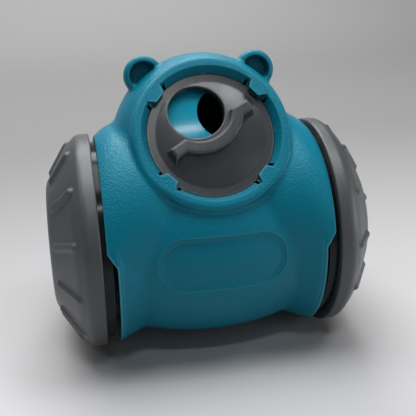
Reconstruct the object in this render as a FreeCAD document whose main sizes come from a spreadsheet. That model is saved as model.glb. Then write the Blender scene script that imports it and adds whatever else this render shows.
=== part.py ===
"""Treat dispensing toy: a weighted barrel between two free wheels, with a rotary treat door.

The origin is on the floor, midway between the wheels and straight below their axle.
+X runs along the axle to the right wheel as seen from the front, -Y is the front with the
door, and +Z is up. All lengths are millimetres and all angles are degrees.
"""
import FreeCAD, Part
import math
import os
import Sketcher

Vector = FreeCAD.Vector
AXLE = Vector(1, 0, 0)
UP = Vector(0, 0, 1)

SIZES = [
    ("wheel_radius", 46.0, "rolling radius of a wheel at its inner lip"),
    ("lip_station", 47.6, "from the middle of the toy to the inner lip of a wheel"),
    ("tread_width", 7.3, "axial width of the tread band up to the sloping face"),
    ("tread_flats", 50, "shallow flats round a tread, which give a wheel its rests"),
    ("tread_skin", 0.1, "what the flats trim off the turned tread at their corners"),
    ("face_run", 12.5, "axial depth of the sloping wheel face"),
    ("face_drop", 20.3, "fall of the sloping wheel face down to its flat"),
    ("tread_round", 4.0, "rounding between tread and face"),
    ("flat_round", 8.0, "rounding between face and centre flat"),
    ("dome_wall", 2.4, "wall of the wheel dome behind its face"),
    ("rib_count", 10, "grip ribs on each wheel face"),
    ("rib_length", 15.0, "length of a rib between its end centres"),
    ("rib_bead_radius", 2.6, "radius of the rounded bead that forms a rib"),
    ("rib_height", 1.3, "how far a rib stands out of the face"),
    ("rib_middle", 34.8, "distance of a rib's middle from the axle"),
    ("right_phase", 14.4, "turn of the right wheel at rest"),
    ("drum_radius", 42.5, "outside radius of the wheel drum"),
    ("drum_wall", 2.4, "wall of the wheel drum"),
    ("drum_start", 43.6, "station of the drum's inner edge"),
    ("drum_end", 53.0, "station of the drum's outer face"),
    ("drum_spokes", 6, "stiffening webs inside the drum"),
    ("spoke_wall", 2.0, "thickness of a stiffening web"),
    ("hub_radius", 10.0, "outside radius of the hub tube"),
    ("hub_bore", 6.0, "radius of the hub bore that holds the bush"),
    ("hub_recess", 7.6, "radius of the hub recess round the axle screw"),
    ("bush_length", 15.2, "length of the hub bush"),
    ("pin_radius", 4.0, "radius of the steel axle pin"),
    ("pin_head_radius", 6.5, "radius of the axle pin's head"),
    ("pin_head_length", 2.0, "thickness of the axle pin's head"),
    ("running_fit", 0.05, "radial clearance of a running bush"),
    ("end_float", 0.25, "axial play of a wheel on its pin"),
    ("washer_radius", 7.0, "outside radius of the axle washer"),
    ("washer_wall", 1.0, "thickness of the axle washer"),
    ("axle_screw_radius", 2.0, "shank radius of the axle screw"),
    ("axle_screw_length", 9.0, "shank length of the axle screw"),
    ("axle_head_radius", 3.8, "head radius of the axle screw"),
    ("axle_head_height", 2.2, "head height of the axle screw"),
    ("hub_cap_radius", 10.4, "radius of the hub cap"),
    ("hub_cap_wall", 1.2, "thickness of the hub cap"),
    ("cap_plug_length", 2.6, "length of the hub cap's plug"),
    ("cap_fit", 0.1, "clearance round the hub cap"),
    ("fender_radius", 44.8, "outside radius of the fenders over the drums"),
    ("fender_station", 45.5, "outer edge of the fenders"),
    ("fender_gap", 0.7, "radial gap between fender and drum"),
    ("collar_station", 42.0, "outer edge of the barrel below the fenders"),
    ("notch_low", 7.4, "height above the axle where the notch leaves the collar"),
    ("notch_high", 13.1, "height above the axle where the notch meets the fender edge"),
    ("belly_radius", 44.4, "barrel radius at mid length"),
    ("waist_radius", 39.8, "barrel radius at the two waists"),
    ("waist_station", 31.0, "station of the waists"),
    ("waist_round", 4.0, "rounding in the waist"),
    ("shell_wall", 2.4, "wall of the moulded shells"),
    ("shoulder_radius", 40.5, "radius of the raised shoulder at the waist"),
    ("shoulder_rise", 10.5, "how far the shoulder's centre is raised at the waist"),
    ("shoulder_end", 12.0, "station where the shoulder has run into the belly"),
    ("shoulder_end_radius", 38.0, "radius of the shoulder where it has run out"),
    ("shoulder_end_rise", 3.0, "rise of the shoulder where it has run out"),
    ("shoulder_blend", 8.0, "blend between shoulder and belly"),
    ("neck_blend", 6.0, "blend round the neck, between head and barrel"),
    ("ring_blend", 2.0, "blend round the foot of the door ring"),
    ("ear_blend", 1.5, "blend round the foot of an ear"),
    ("shoulder_blend_top", 30.2, "height above the axle up to which a shoulder is blended"),
    ("ring_blend_low", 15.0, "height above the axle from which the ring's foot is blended"),
    ("ring_blend_reach", 37.2, "reach of the ring's blended foot from the lip's centre"),
    ("ear_blend_reach", 9.2, "reach of an ear's blended foot from its centre"),
    ("part_tilt", 26.0, "tilt of the parting plane's normal above the front"),
    ("part_setback", 3.0, "distance of the parting plane behind the axle"),
    ("part_gap", 0.1, "joint line between the two shells"),
    ("head_radius", 38.4, "radius of the round head"),
    ("head_back", 3.0, "head centre behind the axle"),
    ("head_rise", 39.2, "head centre above the axle"),
    ("face_tilt", 35.7, "tilt of the door's axis above the horizontal"),
    ("face_forward", 21.0, "centre of the door ring in front of the axle"),
    ("face_rise", 51.8, "centre of the door ring above the axle"),
    ("ring_radius", 31.8, "outside radius of the door ring at its lip"),
    ("ring_foot_radius", 33.2, "outside radius of the door ring at its foot"),
    ("ring_foot_depth", 12.0, "depth of the ring's foot behind its lip"),
    ("ring_round", 2.2, "rounding of the ring's lip"),
    ("well_mouth_radius", 28.2, "radius of the well at the lip"),
    ("well_radius", 25.9, "radius of the well at the door"),
    ("door_depth", 3.5, "depth of the door's flange behind the lip"),
    ("door_flange_wall", 2.0, "thickness of the door's flange"),
    ("door_clearance", 0.24, "clearance round and above the door's flange"),
    ("ledge_radius", 24.6, "inside radius of the ledge under the door"),
    ("ledge_wall", 0.9, "thickness of the ledge under the door"),
    ("lug_reach_radius", 24.8, "distance from the door's axis that the retaining lugs reach in to"),
    ("lug_upper_angle", 50.4, "middle of an upper lug from the top of the ring"),
    ("lug_upper_span", 20.0, "angle taken up by an upper lug"),
    ("lug_upper_foot", 9.8, "width of an upper lug at its foot"),
    ("lug_lower_angle", 133.8, "middle of a lower lug from the top of the ring"),
    ("lug_lower_span", 17.5, "angle taken up by a lower lug"),
    ("lug_lower_foot", 8.6, "width of a lower lug at its foot"),
    ("lug_tip", 5.0, "width of a lug at its inner end"),
    ("lug_slot_span", 3.0, "angle of the slot at each end of a lug"),
    ("lug_slot_radius", 27.6, "outside radius of the slots round a lug"),
    ("door_dome_radius", 22.4, "radius of the door's dome at its foot"),
    ("door_dome_rise", 3.3, "rise of the door's dome over its flange"),
    ("door_wall", 2.0, "wall of the door's dome"),
    ("port_offset", 10.5, "treat port's centre from the door's axis"),
    ("port_radius", 11.3, "radius of the treat port"),
    ("port_wall", 1.5, "wall of the tube round the treat port"),
    ("port_angle", 119.0, "direction of the treat port at rest, from +X"),
    ("port_round", 0.4, "rounding of the treat port's edge"),
    ("grip_radius", 16.0, "radius of the grip's middle line round the port"),
    ("grip_width", 4.9, "width of the grip's crest"),
    ("grip_inner_knee", 56.0, "half the angle of the grip's round stretch on its inner side"),
    ("grip_outer_knee", 48.5, "half the angle of the grip's round stretch on its outer side"),
    ("grip_tip_out", 18.7, "grip tip from the door's middle plane"),
    ("grip_tip_inner", 7.8, "inner corner of a grip tip below the port's centre"),
    ("grip_tip_outer", 12.4, "outer corner of a grip tip below the port's centre"),
    ("grip_draft", 8.0, "draft of the grip's sides"),
    ("grip_crest", 2.7, "top of the grip in front of the lip"),
    ("grip_round", 0.9, "rounding of the grip's edges"),
    ("stop_width", 4.0, "angle covered by the door's stop key"),
    ("stop_depth", 0.7, "height of the door's stop key"),
    ("open_turn", 66.0, "turn from rest to fully open, clockwise from the front"),
    ("shut_turn", 114.0, "turn from rest to fully shut, anticlockwise from the front"),
    ("plate_radius", 29.6, "radius of the shutter plate's flange"),
    ("plate_wall", 2.0, "wall of the shutter plate"),
    ("plate_dish_radius", 23.9, "radius of the shutter plate's dish"),
    ("plate_crest_depth", 5.6, "depth of the plate's crest behind the lip"),
    ("plate_dish_depth", 8.2, "depth of the dish at its edge behind the lip"),
    ("plate_port_offset", 12.3, "plate port's centre from the door's axis"),
    ("plate_port_radius", 11.5, "radius of the plate port"),
    ("plate_port_angle", 53.0, "direction of the plate port, from +X"),
    ("plate_screw_circle", 27.7, "radius of the circle of plate screws"),
    ("plate_fit", 0.2, "clearance round the shutter plate"),
    ("ear_out", 23.5, "ear centre from the middle of the toy"),
    ("ear_back", 5.9, "ear centre behind the axle"),
    ("ear_rise", 69.3, "ear centre above the axle"),
    ("ear_radius", 8.1, "radius of an ear"),
    ("ear_wall", 7.0, "thickness of an ear"),
    ("ear_tilt", 14.0, "tilt of an ear's face above the horizontal"),
    ("ear_round", 1.9, "rounding of an ear's rim"),
    ("dish_depth", 3.4, "depth of the dish in an ear"),
    ("dish_radius", 6.0, "radius of the dish at its mouth"),
    ("dish_floor", 4.8, "radius of the dish's floor"),
    ("recess_length", 52.0, "length of the recess on the belly"),
    ("recess_height", 22.2, "height of the recess on the belly"),
    ("recess_depth", 1.2, "depth of the recess on the belly"),
    ("recess_tilt", 6.0, "direction of the recess above the horizontal"),
    ("recess_bevel", 0.9, "fall of the bevel round the recess"),
    ("recess_bevel_run", 2.4, "width of the bevel round the recess"),
    ("shell_screw_radius", 1.5, "shank radius of the shell screws"),
    ("shell_head_radius", 2.7, "head radius of the shell screws"),
    ("shell_head_height", 2.0, "head height of the shell screws"),
    ("screw_seat", 3.0, "seat of a shell screw's head behind the joint"),
    ("small_screw_radius", 1.25, "shank radius of the small screws"),
    ("small_screw_length", 6.0, "shank length of the ballast cover's screws"),
    ("plate_screw_length", 4.8, "shank length of the plate screws"),
    ("screw_end_gap", 0.4, "free depth past the end of a screw"),
    ("small_head_radius", 2.5, "head radius of the small screws"),
    ("small_head_height", 1.6, "head height of the small screws"),
    ("boss_radius", 4.5, "radius of the shell screw bosses"),
    ("boss_length", 9.0, "length of a boss on each side of the joint"),
    ("shell_screw_reach", 8.0, "grip of a shell screw in the front shell"),
    ("screw_well_radius", 3.0, "radius of the deep screw holes in the rear shell"),
    ("upper_boss_out", 31.3, "upper bosses from the middle of the toy"),
    ("upper_boss_up", 34.0, "upper bosses along the parting plane"),
    ("lower_boss_out", 27.0, "lower bosses from the middle of the toy"),
    ("lower_boss_down", 34.6, "lower bosses along the parting plane"),
    ("crown_boss_up", 64.5, "crown boss along the parting plane"),
    ("plate_station", 36.5, "inner face of the end plates"),
    ("end_plate_wall", 2.5, "thickness of the end plates"),
    ("end_plate_radius", 40.9, "radius of the end plates"),
    ("groove_fit", 0.15, "clearance of the end plates in their grooves"),
    ("groove_lip", 1.2, "how far the groove's lips stand over the end plate"),
    ("groove_lip_wall", 1.2, "thickness of the groove's outer lip"),
    ("boss_outer_radius", 9.0, "radius of the axle boss on an end plate"),
    ("boss_outer_length", 4.0, "length of the axle boss outside the plate"),
    ("boss_inner_length", 5.0, "length of the axle boss inside the plate"),
    ("plate_ribs", 8, "stiffening ribs on an end plate"),
    ("plate_rib_height", 2.2, "height of the end plate's ribs"),
    ("ballast_half", 20.0, "half the length of the ballast slug"),
    ("ballast_front", -13.6, "front face of the ballast slug"),
    ("ballast_back", 12.4, "back face of the ballast slug"),
    ("ballast_top", -28.5, "top face of the ballast slug, from the axle"),
    ("ballast_fit", 0.3, "clearance between ballast and shell"),
    ("cover_wall", 1.8, "wall of the ballast cover"),
    ("cover_screw_out", 26.0, "cover screws from the middle of the toy"),
    ("cover_boss_radius", 3.4, "radius of the cover screw bosses"),
]

TREAD_CORNER = "(Sizes.lip_station + Sizes.tread_width)"
FLATS_RADIUS = "(Sizes.wheel_radius / cos(180 / Sizes.tread_flats))"
FACE_STATION = "(Sizes.lip_station + Sizes.tread_width + Sizes.face_run)"
BUSH_START = ("(Sizes.plate_station + Sizes.end_plate_wall + Sizes.boss_outer_length"
              " + Sizes.end_float)")
BUSH_END = f"({BUSH_START} + Sizes.bush_length)"
PIN_END = f"({BUSH_END} + Sizes.end_float)"
BELLY_SAG = "(Sizes.belly_radius - Sizes.waist_radius)"
BELLY_BULGE = f"((Sizes.waist_station ^ 2 + {BELLY_SAG} ^ 2) / (2 * {BELLY_SAG}))"
PLATE_SEAT = "(Sizes.door_depth + Sizes.door_flange_wall + Sizes.door_clearance + Sizes.ledge_wall)"
HEAD_TURN = "90 - Sizes.face_tilt"
SHORTEST_BLEND = 0.04
PART_TURN = "90 - Sizes.part_tilt"

document = FreeCAD.newDocument("TreatToy")
sheet = document.addObject("Spreadsheet::Sheet", "Sizes")
for row, (alias, amount, meaning) in enumerate(SIZES, 1):
    sheet.set(f"A{row}", meaning)
    sheet.set(f"B{row}", str(amount))
    sheet.setAlias(f"B{row}", alias)
document.recompute()

nodes = []


def value(formula):
    """The number that a formula of the sheet's sizes stands for."""
    return float(sheet.evalExpression(str(formula).replace("Sizes.", "")))


def bind(item, **formulas):
    """Bind properties to formulas; a double underscore in a name stands for a dot."""
    for name, formula in formulas.items():
        item.setExpression(name.replace("__", "."), str(formula))


def place(item, x=0, y=0, z=0, axis=UP, turn=None):
    """Bind an item's place, and its turn about an axis, to formulas."""
    if turn is not None:
        item.Placement = FreeCAD.Placement(Vector(), FreeCAD.Rotation(axis, value(turn) or 1))
        item.setExpression("Placement.Rotation.Angle", str(turn))
    for name, formula in (("x", x), ("y", y), ("z", z)):
        if str(formula) != "0":
            item.setExpression("Placement.Base." + name, str(formula))
    return item


def finish(item, label):
    """Make an item a sub-part of the toy under the name of its node."""
    item.Label = label
    nodes.append(item)
    return item


def primitive(kind, name, **formulas):
    """A solid primitive whose sizes are bound to formulas."""
    item = document.addObject("Part::" + kind, name)
    bind(item, **formulas)
    return item


def fuse(name, *shapes):
    """One solid out of several."""
    item = document.addObject("Part::MultiFuse", name)
    item.Shapes = list(shapes)
    return item


def common(name, *shapes):
    """What several solids share."""
    item = document.addObject("Part::MultiCommon", name)
    item.Shapes = list(shapes)
    return item


def cut(name, base, tool):
    """A base without a tool."""
    item = document.addObject("Part::Cut", name)
    item.Base = base
    item.Tool = tool
    return item


def body(name):
    """An empty body for sketched features."""
    return document.addObject("PartDesign::Body", name)


def origin_plane(owner, role):
    """One of a body's own origin planes or axes."""
    return next(item for item in owner.Origin.OriginFeatures if item.Role == role)


def outline(owner, name, role, corners, arcs=None):
    """A closed sketch through corners given as formulas.

    arcs maps the number of a stretch, counted from the first corner, to its radius and to the
    side of the stretch, +1 for left and -1 for right, that the arc's centre lies on.
    """
    arcs = arcs or {}
    sketch = owner.newObject("Sketcher::SketchObject", name)
    sketch.AttachmentSupport = [(origin_plane(owner, role), "")]
    sketch.MapMode = "FlatFace"
    points = [Vector(value(across), value(along), 0) for across, along in corners]
    ends = []
    for index, start in enumerate(points):
        stop = points[(index + 1) % len(points)]
        if index not in arcs:
            sketch.addGeometry(Part.LineSegment(start, stop), False)
            ends.append((1, 2))
            continue
        radius, side = value(arcs[index][0]), arcs[index][1]
        chord = stop - start
        normal = Vector(-chord.y, chord.x, 0).normalize() * side
        centre = (start + stop) * 0.5 + normal * math.sqrt(radius ** 2 - chord.Length ** 2 / 4)
        first, last = (start, stop) if side > 0 else (stop, start)
        begin = math.atan2(first.y - centre.y, first.x - centre.x)
        end = math.atan2(last.y - centre.y, last.x - centre.x)
        if end < begin:
            end += 2 * math.pi
        sketch.addGeometry(Part.ArcOfCircle(Part.Circle(centre, UP, radius), begin, end), False)
        ends.append((1, 2) if side > 0 else (2, 1))
    for index in range(len(points)):
        following = (index + 1) % len(points)
        sketch.addConstraint(
            Sketcher.Constraint("Coincident", index, ends[index][1], following, ends[following][0]))
    for index, (across, along) in enumerate(corners):
        spot = ends[index][0]
        for kind, formula, start, axis in (("DistanceX", across, points[index].x, -2),
                                           ("DistanceY", along, points[index].y, -1)):
            if str(formula) == "0":
                sketch.addConstraint(Sketcher.Constraint("PointOnObject", index, spot, axis))
                continue
            number = sketch.addConstraint(Sketcher.Constraint(kind, -1, 1, index, spot, start))
            sketch.setExpression(f"Constraints[{number}]", str(formula))
    for index, (radius, side) in arcs.items():
        number = sketch.addConstraint(Sketcher.Constraint("Radius", index, value(radius)))
        sketch.setExpression(f"Constraints[{number}]", str(radius))
    return sketch


def revolve(owner, name, sketch, axis, groove=False):
    """Turn a sketch fully about one of its own axes, to add or to remove material."""
    feature = owner.newObject("PartDesign::Groove" if groove else "PartDesign::Revolution", name)
    feature.Profile = sketch
    feature.ReferenceAxis = (sketch, [axis])
    feature.Angle = 360
    owner.Tip = feature
    return feature


def turned(name, corners, axis="H_Axis", arcs=None, role="XZ_Plane"):
    """A body of one turned profile: (station, radius) about X, or (radius, height) about Z."""
    owner = body(name)
    revolve(owner, name + "_turn", outline(owner, name + "_profile", role, corners, arcs), axis)
    return owner


def round_edges(owner, name, radius, chosen):
    """Round the edges of a body's tip that a test picks out."""
    document.recompute()
    base = owner.Tip
    edges = [f"Edge{index + 1}" for index, edge in enumerate(base.Shape.Edges) if chosen(edge)]
    fillet = owner.newObject("PartDesign::Fillet", name)
    fillet.Base = (base, edges)
    fillet.setExpression("Radius", str(radius))
    owner.Tip = fillet
    return fillet


def ring_at(radius, station=None, axis="x"):
    """A test for round edges of a given radius, and station along an axis where one is given."""
    def chosen(edge):
        curve = edge.Curve
        if not isinstance(curve, Part.Circle) or abs(curve.Radius - value(radius)) > 1e-4:
            return False
        return station is None or abs(getattr(curve.Center, axis) - value(station)) < 1e-4
    return chosen


def blend(name, base, radius, chosen):
    """Round the edges of a boolean result that a test picks out by their surfaces and middle."""
    document.recompute()
    reach = value(radius)
    edges = []
    for index, edge in enumerate(base.Shape.Edges, 1):
        if edge.Length < SHORTEST_BLEND:
            continue
        kinds = {type(face.Surface) for face in base.Shape.ancestorsOfType(edge, Part.Face)}
        if chosen(kinds, edge.valueAt((edge.FirstParameter + edge.LastParameter) / 2)):
            edges.append((index, reach, reach))
    item = document.addObject("Part::Fillet", name)
    item.Base = base
    item.Edges = edges
    return item


def sector(name, inner, outer, low, high, middle, span):
    """A ring sector about Z, between two heights, centred on a direction from +X."""
    whole = primitive("Cylinder", name + "_outer", Radius=outer, Height=f"({high}) - ({low})",
                      Angle=span)
    hole = primitive("Cylinder", name + "_inner", Radius=inner, Height=f"({high}) - ({low}) + 2")
    place(hole, z="-1")
    return place(cut(name, whole, hole), z=low, turn=f"({middle}) - ({span}) / 2")


def dome_radius(radius, rise):
    """Radius of the sphere whose cap has a given foot radius and rise."""
    return f"((({radius}) ^ 2 + ({rise}) ^ 2) / (2 * ({rise})))"


def in_head(item):
    """Place an item that is drawn about the door's axis, with the lip's centre as its origin."""
    return place(item, y="-Sizes.face_forward", z="Sizes.face_rise", axis=AXLE, turn=HEAD_TURN)


def lip_centre():
    """The centre of the door ring's lip, from the middle of the axle."""
    return Vector(0, -value("Sizes.face_forward"), value("Sizes.face_rise"))


def in_toy_head(item):
    """Place a finished sub-part that is drawn about the door's axis."""
    return place(item, y="-Sizes.face_forward", z="Sizes.wheel_radius + Sizes.face_rise",
                 axis=AXLE, turn=HEAD_TURN)


def raise_to_axle(item):
    """Place a finished sub-part that is drawn about the axle."""
    return place(item, z="Sizes.wheel_radius")


# Outer form of the barrel, head, ring, lugs and ears
def barrel_form():
    """The barrel: a bulging belly, two waists and two flaring collars that end in fenders."""
    form = turned("BarrelForm", [
        ("-Sizes.fender_station", "0"),
        ("Sizes.fender_station", "0"),
        ("Sizes.fender_station", "Sizes.fender_radius"),
        ("Sizes.collar_station", "Sizes.fender_radius"),
        ("Sizes.waist_station", "Sizes.waist_radius"),
        ("-Sizes.waist_station", "Sizes.waist_radius"),
        ("-Sizes.collar_station", "Sizes.fender_radius"),
        ("-Sizes.fender_station", "Sizes.fender_radius"),
    ], arcs={4: (BELLY_BULGE, 1)})
    round_edges(form, "WaistRound", "Sizes.waist_round", ring_at("Sizes.waist_radius"))
    return form


def belly_inside(name, inset):
    """The solid that lies at an even depth inside the belly's surface."""
    radius = f"Sizes.waist_radius - ({inset})"
    return turned(name, [
        ("-Sizes.waist_station", "0"),
        ("Sizes.waist_station", "0"),
        ("Sizes.waist_station", radius),
        ("-Sizes.waist_station", radius),
    ], arcs={2: (f"{BELLY_BULGE} - ({inset})", 1)})


def barrel_core():
    """The hollow of the barrel, with the grooves that hold the end plates."""
    bulge = f"{BELLY_BULGE} - Sizes.shell_wall"
    waist = "Sizes.waist_radius - Sizes.shell_wall"
    groove_in = "Sizes.plate_station - Sizes.groove_fit"
    groove_out = "Sizes.plate_station + Sizes.end_plate_wall + Sizes.groove_fit"
    groove = "Sizes.end_plate_radius + Sizes.groove_fit"
    lip = "Sizes.end_plate_radius - Sizes.groove_lip"
    lip_out = f"{groove_out} + Sizes.groove_lip_wall"
    bay = "Sizes.drum_radius + Sizes.fender_gap"
    half = [
        ("Sizes.lip_station", bay),
        (lip_out, bay),
        (lip_out, lip),
        (groove_out, lip),
        (groove_out, groove),
        (groove_in, groove),
        (groove_in, lip),
        ("Sizes.waist_station", waist),
    ]
    other = [(f"-({station})", radius) for station, radius in reversed(half)]
    ends = [("-Sizes.lip_station", "0"), ("Sizes.lip_station", "0")]
    return turned("BarrelCore", ends + half + other, arcs={len(half) + 1: (bulge, 1)})


def shoulder(side):
    """The raised shoulder that runs from a fender up to the head."""
    rings = []
    for name, station, radius, rise in (
            ("Fender", "Sizes.fender_station", "Sizes.fender_radius - 0.01", "0"),
            ("Waist", "Sizes.waist_station", "Sizes.shoulder_radius", "Sizes.shoulder_rise"),
            ("Belly", "Sizes.shoulder_end", "Sizes.shoulder_end_radius", "Sizes.shoulder_end_rise")):
        ring = document.addObject("Part::Circle", "Shoulder" + name)
        bind(ring, Radius=radius)
        rings.append(place(ring, x=f"{side} * ({station})", z=rise, axis=Vector(0, 1, 0), turn="90"))
    loft = document.addObject("Part::Loft", "ShoulderRight" if side > 0 else "ShoulderLeft")
    loft.Sections = rings
    loft.Solid = True
    return loft


def ring_form():
    """The raised ring round the door, drawn about the door's axis."""
    form = turned("RingForm", [
        ("0", "-Sizes.ring_foot_depth"),
        ("Sizes.ring_foot_radius", "-Sizes.ring_foot_depth"),
        ("Sizes.ring_radius", "0"),
        ("0", "0"),
    ], axis="V_Axis", role="YZ_Plane")
    return in_head(form)


def ear(side):
    """One ear: a thick rounded disc with a dished face."""
    form = turned("EarRight" if side > 0 else "EarLeft", [
        ("0", "-Sizes.ear_wall / 2"),
        ("Sizes.ear_radius", "-Sizes.ear_wall / 2"),
        ("Sizes.ear_radius", "Sizes.ear_wall / 2"),
        ("0", "Sizes.ear_wall / 2"),
    ], axis="V_Axis")
    round_edges(form, form.Name + "Round", "Sizes.ear_round", ring_at("Sizes.ear_radius"))
    dish = outline(form, form.Name + "Dish", "XZ_Plane", [
        ("0", "Sizes.ear_wall / 2 - Sizes.dish_depth"),
        ("Sizes.dish_floor", "Sizes.ear_wall / 2 - Sizes.dish_depth"),
        ("Sizes.dish_radius", "Sizes.ear_wall / 2"),
        ("Sizes.dish_radius", "Sizes.ear_wall / 2 + 1"),
        ("0", "Sizes.ear_wall / 2 + 1"),
    ])
    revolve(form, form.Name + "Groove", dish, "V_Axis", groove=True)
    return place(form, x=f"{side} * Sizes.ear_out", y="Sizes.ear_back", z="Sizes.ear_rise",
                 axis=AXLE, turn="90 - Sizes.ear_tilt")


def door_well():
    """The well that the door sits in, with the ledge under it and all that lies ahead of the lip."""
    under = "-(Sizes.door_depth + Sizes.door_flange_wall + Sizes.door_clearance)"
    return in_head(turned("DoorWell", [
        ("0", "-Sizes.head_radius"),
        ("Sizes.ledge_radius", "-Sizes.head_radius"),
        ("Sizes.ledge_radius", under),
        ("Sizes.well_radius", under),
        ("Sizes.well_radius", "-Sizes.door_depth"),
        ("Sizes.well_mouth_radius", "0"),
        ("Sizes.head_radius", "0"),
        ("Sizes.head_radius", "Sizes.head_radius / 2"),
        ("0", "Sizes.head_radius / 2"),
    ], axis="V_Axis"))


def lug_places():
    """The four lugs: a name, which pair it belongs to and its middle as an angle from +X."""
    for row in ("upper", "lower"):
        for tag, side in (("Right", -1), ("Left", 1)):
            yield row.title() + tag, "Sizes.lug_" + row, f"90 + ({side}) * Sizes.lug_{row}_angle"


def retaining_lugs():
    """Four tapered lugs that reach in over the door's flange, flush with the lip."""
    depth = "(Sizes.door_depth - Sizes.door_clearance)"
    foot_radius = "Sizes.lug_slot_radius + 1"
    lugs = []
    for tag, pair, middle in lug_places():
        owner = body("Lug" + tag)
        sketch = outline(owner, "LugProfile" + tag, "XY_Plane", [
            ("Sizes.lug_reach_radius", "-Sizes.lug_tip / 2"),
            (foot_radius, f"-{pair}_foot / 2"),
            (foot_radius, f"{pair}_foot / 2"),
            ("Sizes.lug_reach_radius", "Sizes.lug_tip / 2"),
        ])
        pad = owner.newObject("PartDesign::Pad", "LugPad" + tag)
        pad.Profile = sketch
        bind(pad, Length=depth)
        lugs.append(place(owner, z=f"-{depth}", turn=middle))
    return in_head(fuse("Lugs", *lugs))


def lug_slots():
    """The slots beside each lug and the opening below it, which let the lugs flex."""
    low = "-" + PLATE_SEAT
    slots = []
    for tag, pair, middle in lug_places():
        span = pair + "_span"
        slots.append(sector("SlotUnder" + tag, "Sizes.ledge_radius - 1", "Sizes.lug_slot_radius",
                            f"{low} - 1", "-Sizes.door_depth", middle, f"{span} + 2 * Sizes.lug_slot_span"))
        for end in (-1, 1):
            slots.append(sector(f"Slot{tag}{'Low' if end < 0 else 'High'}", "Sizes.ledge_radius",
                                "Sizes.lug_slot_radius", low, "-Sizes.door_flange_wall / 2",
                                f"{middle} + ({end}) * ({span} + Sizes.lug_slot_span) / 2",
                                "Sizes.lug_slot_span"))
    return slots


def stop_track():
    """The track in the ledge that lets the door's stop key turn from open to shut."""
    return sector("StopTrack", "Sizes.ledge_radius - 1", "Sizes.well_radius",
                  f"-({PLATE_SEAT}) - 0.5", "-(Sizes.door_depth + Sizes.door_flange_wall)",
                  "Sizes.port_angle - 180 + (Sizes.shut_turn - Sizes.open_turn) / 2",
                  "Sizes.open_turn + Sizes.shut_turn + Sizes.stop_width + 2")


def fender_trim():
    """What is cut away below the fenders, with the slanted notch at each end."""
    trims = []
    slope = "(Sizes.notch_high - Sizes.notch_low) / (Sizes.fender_station - Sizes.collar_station)"
    beyond = "(Sizes.fender_station + 5)"
    for side in (-1, 1):
        owner = body("TrimRight" if side > 0 else "TrimLeft")
        sketch = outline(owner, owner.Name + "Profile", "XZ_Plane", [
            (f"{side} * Sizes.collar_station", "-Sizes.wheel_radius - 5"),
            (f"{side} * Sizes.collar_station", "Sizes.notch_low"),
            (f"{side} * {beyond}", f"Sizes.notch_low + {slope} * ({beyond} - Sizes.collar_station)"),
            (f"{side} * {beyond}", "-Sizes.wheel_radius - 5"),
        ])
        pad = owner.newObject("PartDesign::Pad", owner.Name + "Pad")
        pad.Profile = sketch
        pad.SideType = "Symmetric"
        bind(pad, Length="3 * Sizes.wheel_radius")
        trims.append(owner)
    return trims


def belly_recess():
    """The long rounded recess on the belly: its floor follows the belly."""
    owner = body("RecessTool")
    half_run = "(Sizes.recess_length - Sizes.recess_height) / 2"
    half_rise = "Sizes.recess_height / 2"
    sketch = outline(owner, "RecessProfile", "XY_Plane", [
        (f"-{half_run}", f"-{half_rise}"),
        (half_run, f"-{half_rise}"),
        (f"{half_run} + {half_rise}", "0"),
        (half_run, half_rise),
        (f"-{half_run}", half_rise),
        (f"-({half_run} + {half_rise})", "0"),
    ], arcs={1: (half_rise, 1), 2: (half_rise, 1), 4: (half_rise, 1), 5: (half_rise, 1)})
    pad = owner.newObject("PartDesign::Pad", "RecessPad")
    pad.Profile = sketch
    bind(pad, Length="Sizes.belly_radius + 5")
    place(owner, axis=AXLE, turn="90 - Sizes.recess_tilt")
    sunk = cut("RecessSunk", owner, belly_inside("RecessFloor", "Sizes.recess_depth"))
    document.recompute()
    fall, run = value("Sizes.recess_bevel"), value("Sizes.recess_bevel_run")
    rim = [index for index, edge in enumerate(sunk.Shape.Edges, 1)
           if any(isinstance(face.Surface, Part.SurfaceOfRevolution)
                  for face in sunk.Shape.ancestorsOfType(edge, Part.Face))]
    bevel = document.addObject("Part::Chamfer", "BellyRecess")
    bevel.Base = sunk
    bevel.Edges = [(index, fall, run) for index in rim]
    return bevel


def boss_places():
    """The shell screw bosses, as formulas across and along the parting plane."""
    yield "UpperLeft", "-Sizes.upper_boss_out", "Sizes.upper_boss_up"
    yield "UpperRight", "Sizes.upper_boss_out", "Sizes.upper_boss_up"
    yield "LowerLeft", "-Sizes.lower_boss_out", "-Sizes.lower_boss_down"
    yield "LowerRight", "Sizes.lower_boss_out", "-Sizes.lower_boss_down"
    yield "Crown", "0", "Sizes.crown_boss_up"


def on_joint(name, radius, low, high, across, along):
    """A cylinder square to the parting plane, between two distances in front of the joint."""
    near = f"(({low}) - Sizes.part_setback)"
    tilt = "Sizes.part_tilt"
    rod = primitive("Cylinder", name, Radius=radius, Height=f"({high}) - ({low})")
    return place(rod, x=across,
                 y=f"-cos({tilt}) * {near} + sin({tilt}) * ({along})",
                 z=f"sin({tilt}) * {near} + cos({tilt}) * ({along})", axis=AXLE, turn=PART_TURN)


def on_each_boss(name, radius, low, high):
    """One cylinder at every shell screw boss."""
    return [on_joint(name + tag, radius, low, high, across, along)
            for tag, across, along in boss_places()]


def half_space(name, front):
    """A block that holds everything on one side of the parting plane."""
    reach = "(4 * Sizes.wheel_radius)"
    low = "(Sizes.part_gap / 2 - Sizes.part_setback)"
    if not front:
        low = f"(-Sizes.part_gap / 2 - Sizes.part_setback - {reach})"
    block = primitive("Box", name, Length=reach, Width=reach, Height=reach)
    tilt = "Sizes.part_tilt"
    return place(block, x=f"-{reach} / 2",
                 y=f"-cos({tilt}) * {low} - sin({tilt}) * {reach} / 2",
                 z=f"sin({tilt}) * {low} - cos({tilt}) * {reach} / 2", axis=AXLE, turn=PART_TURN)


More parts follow.
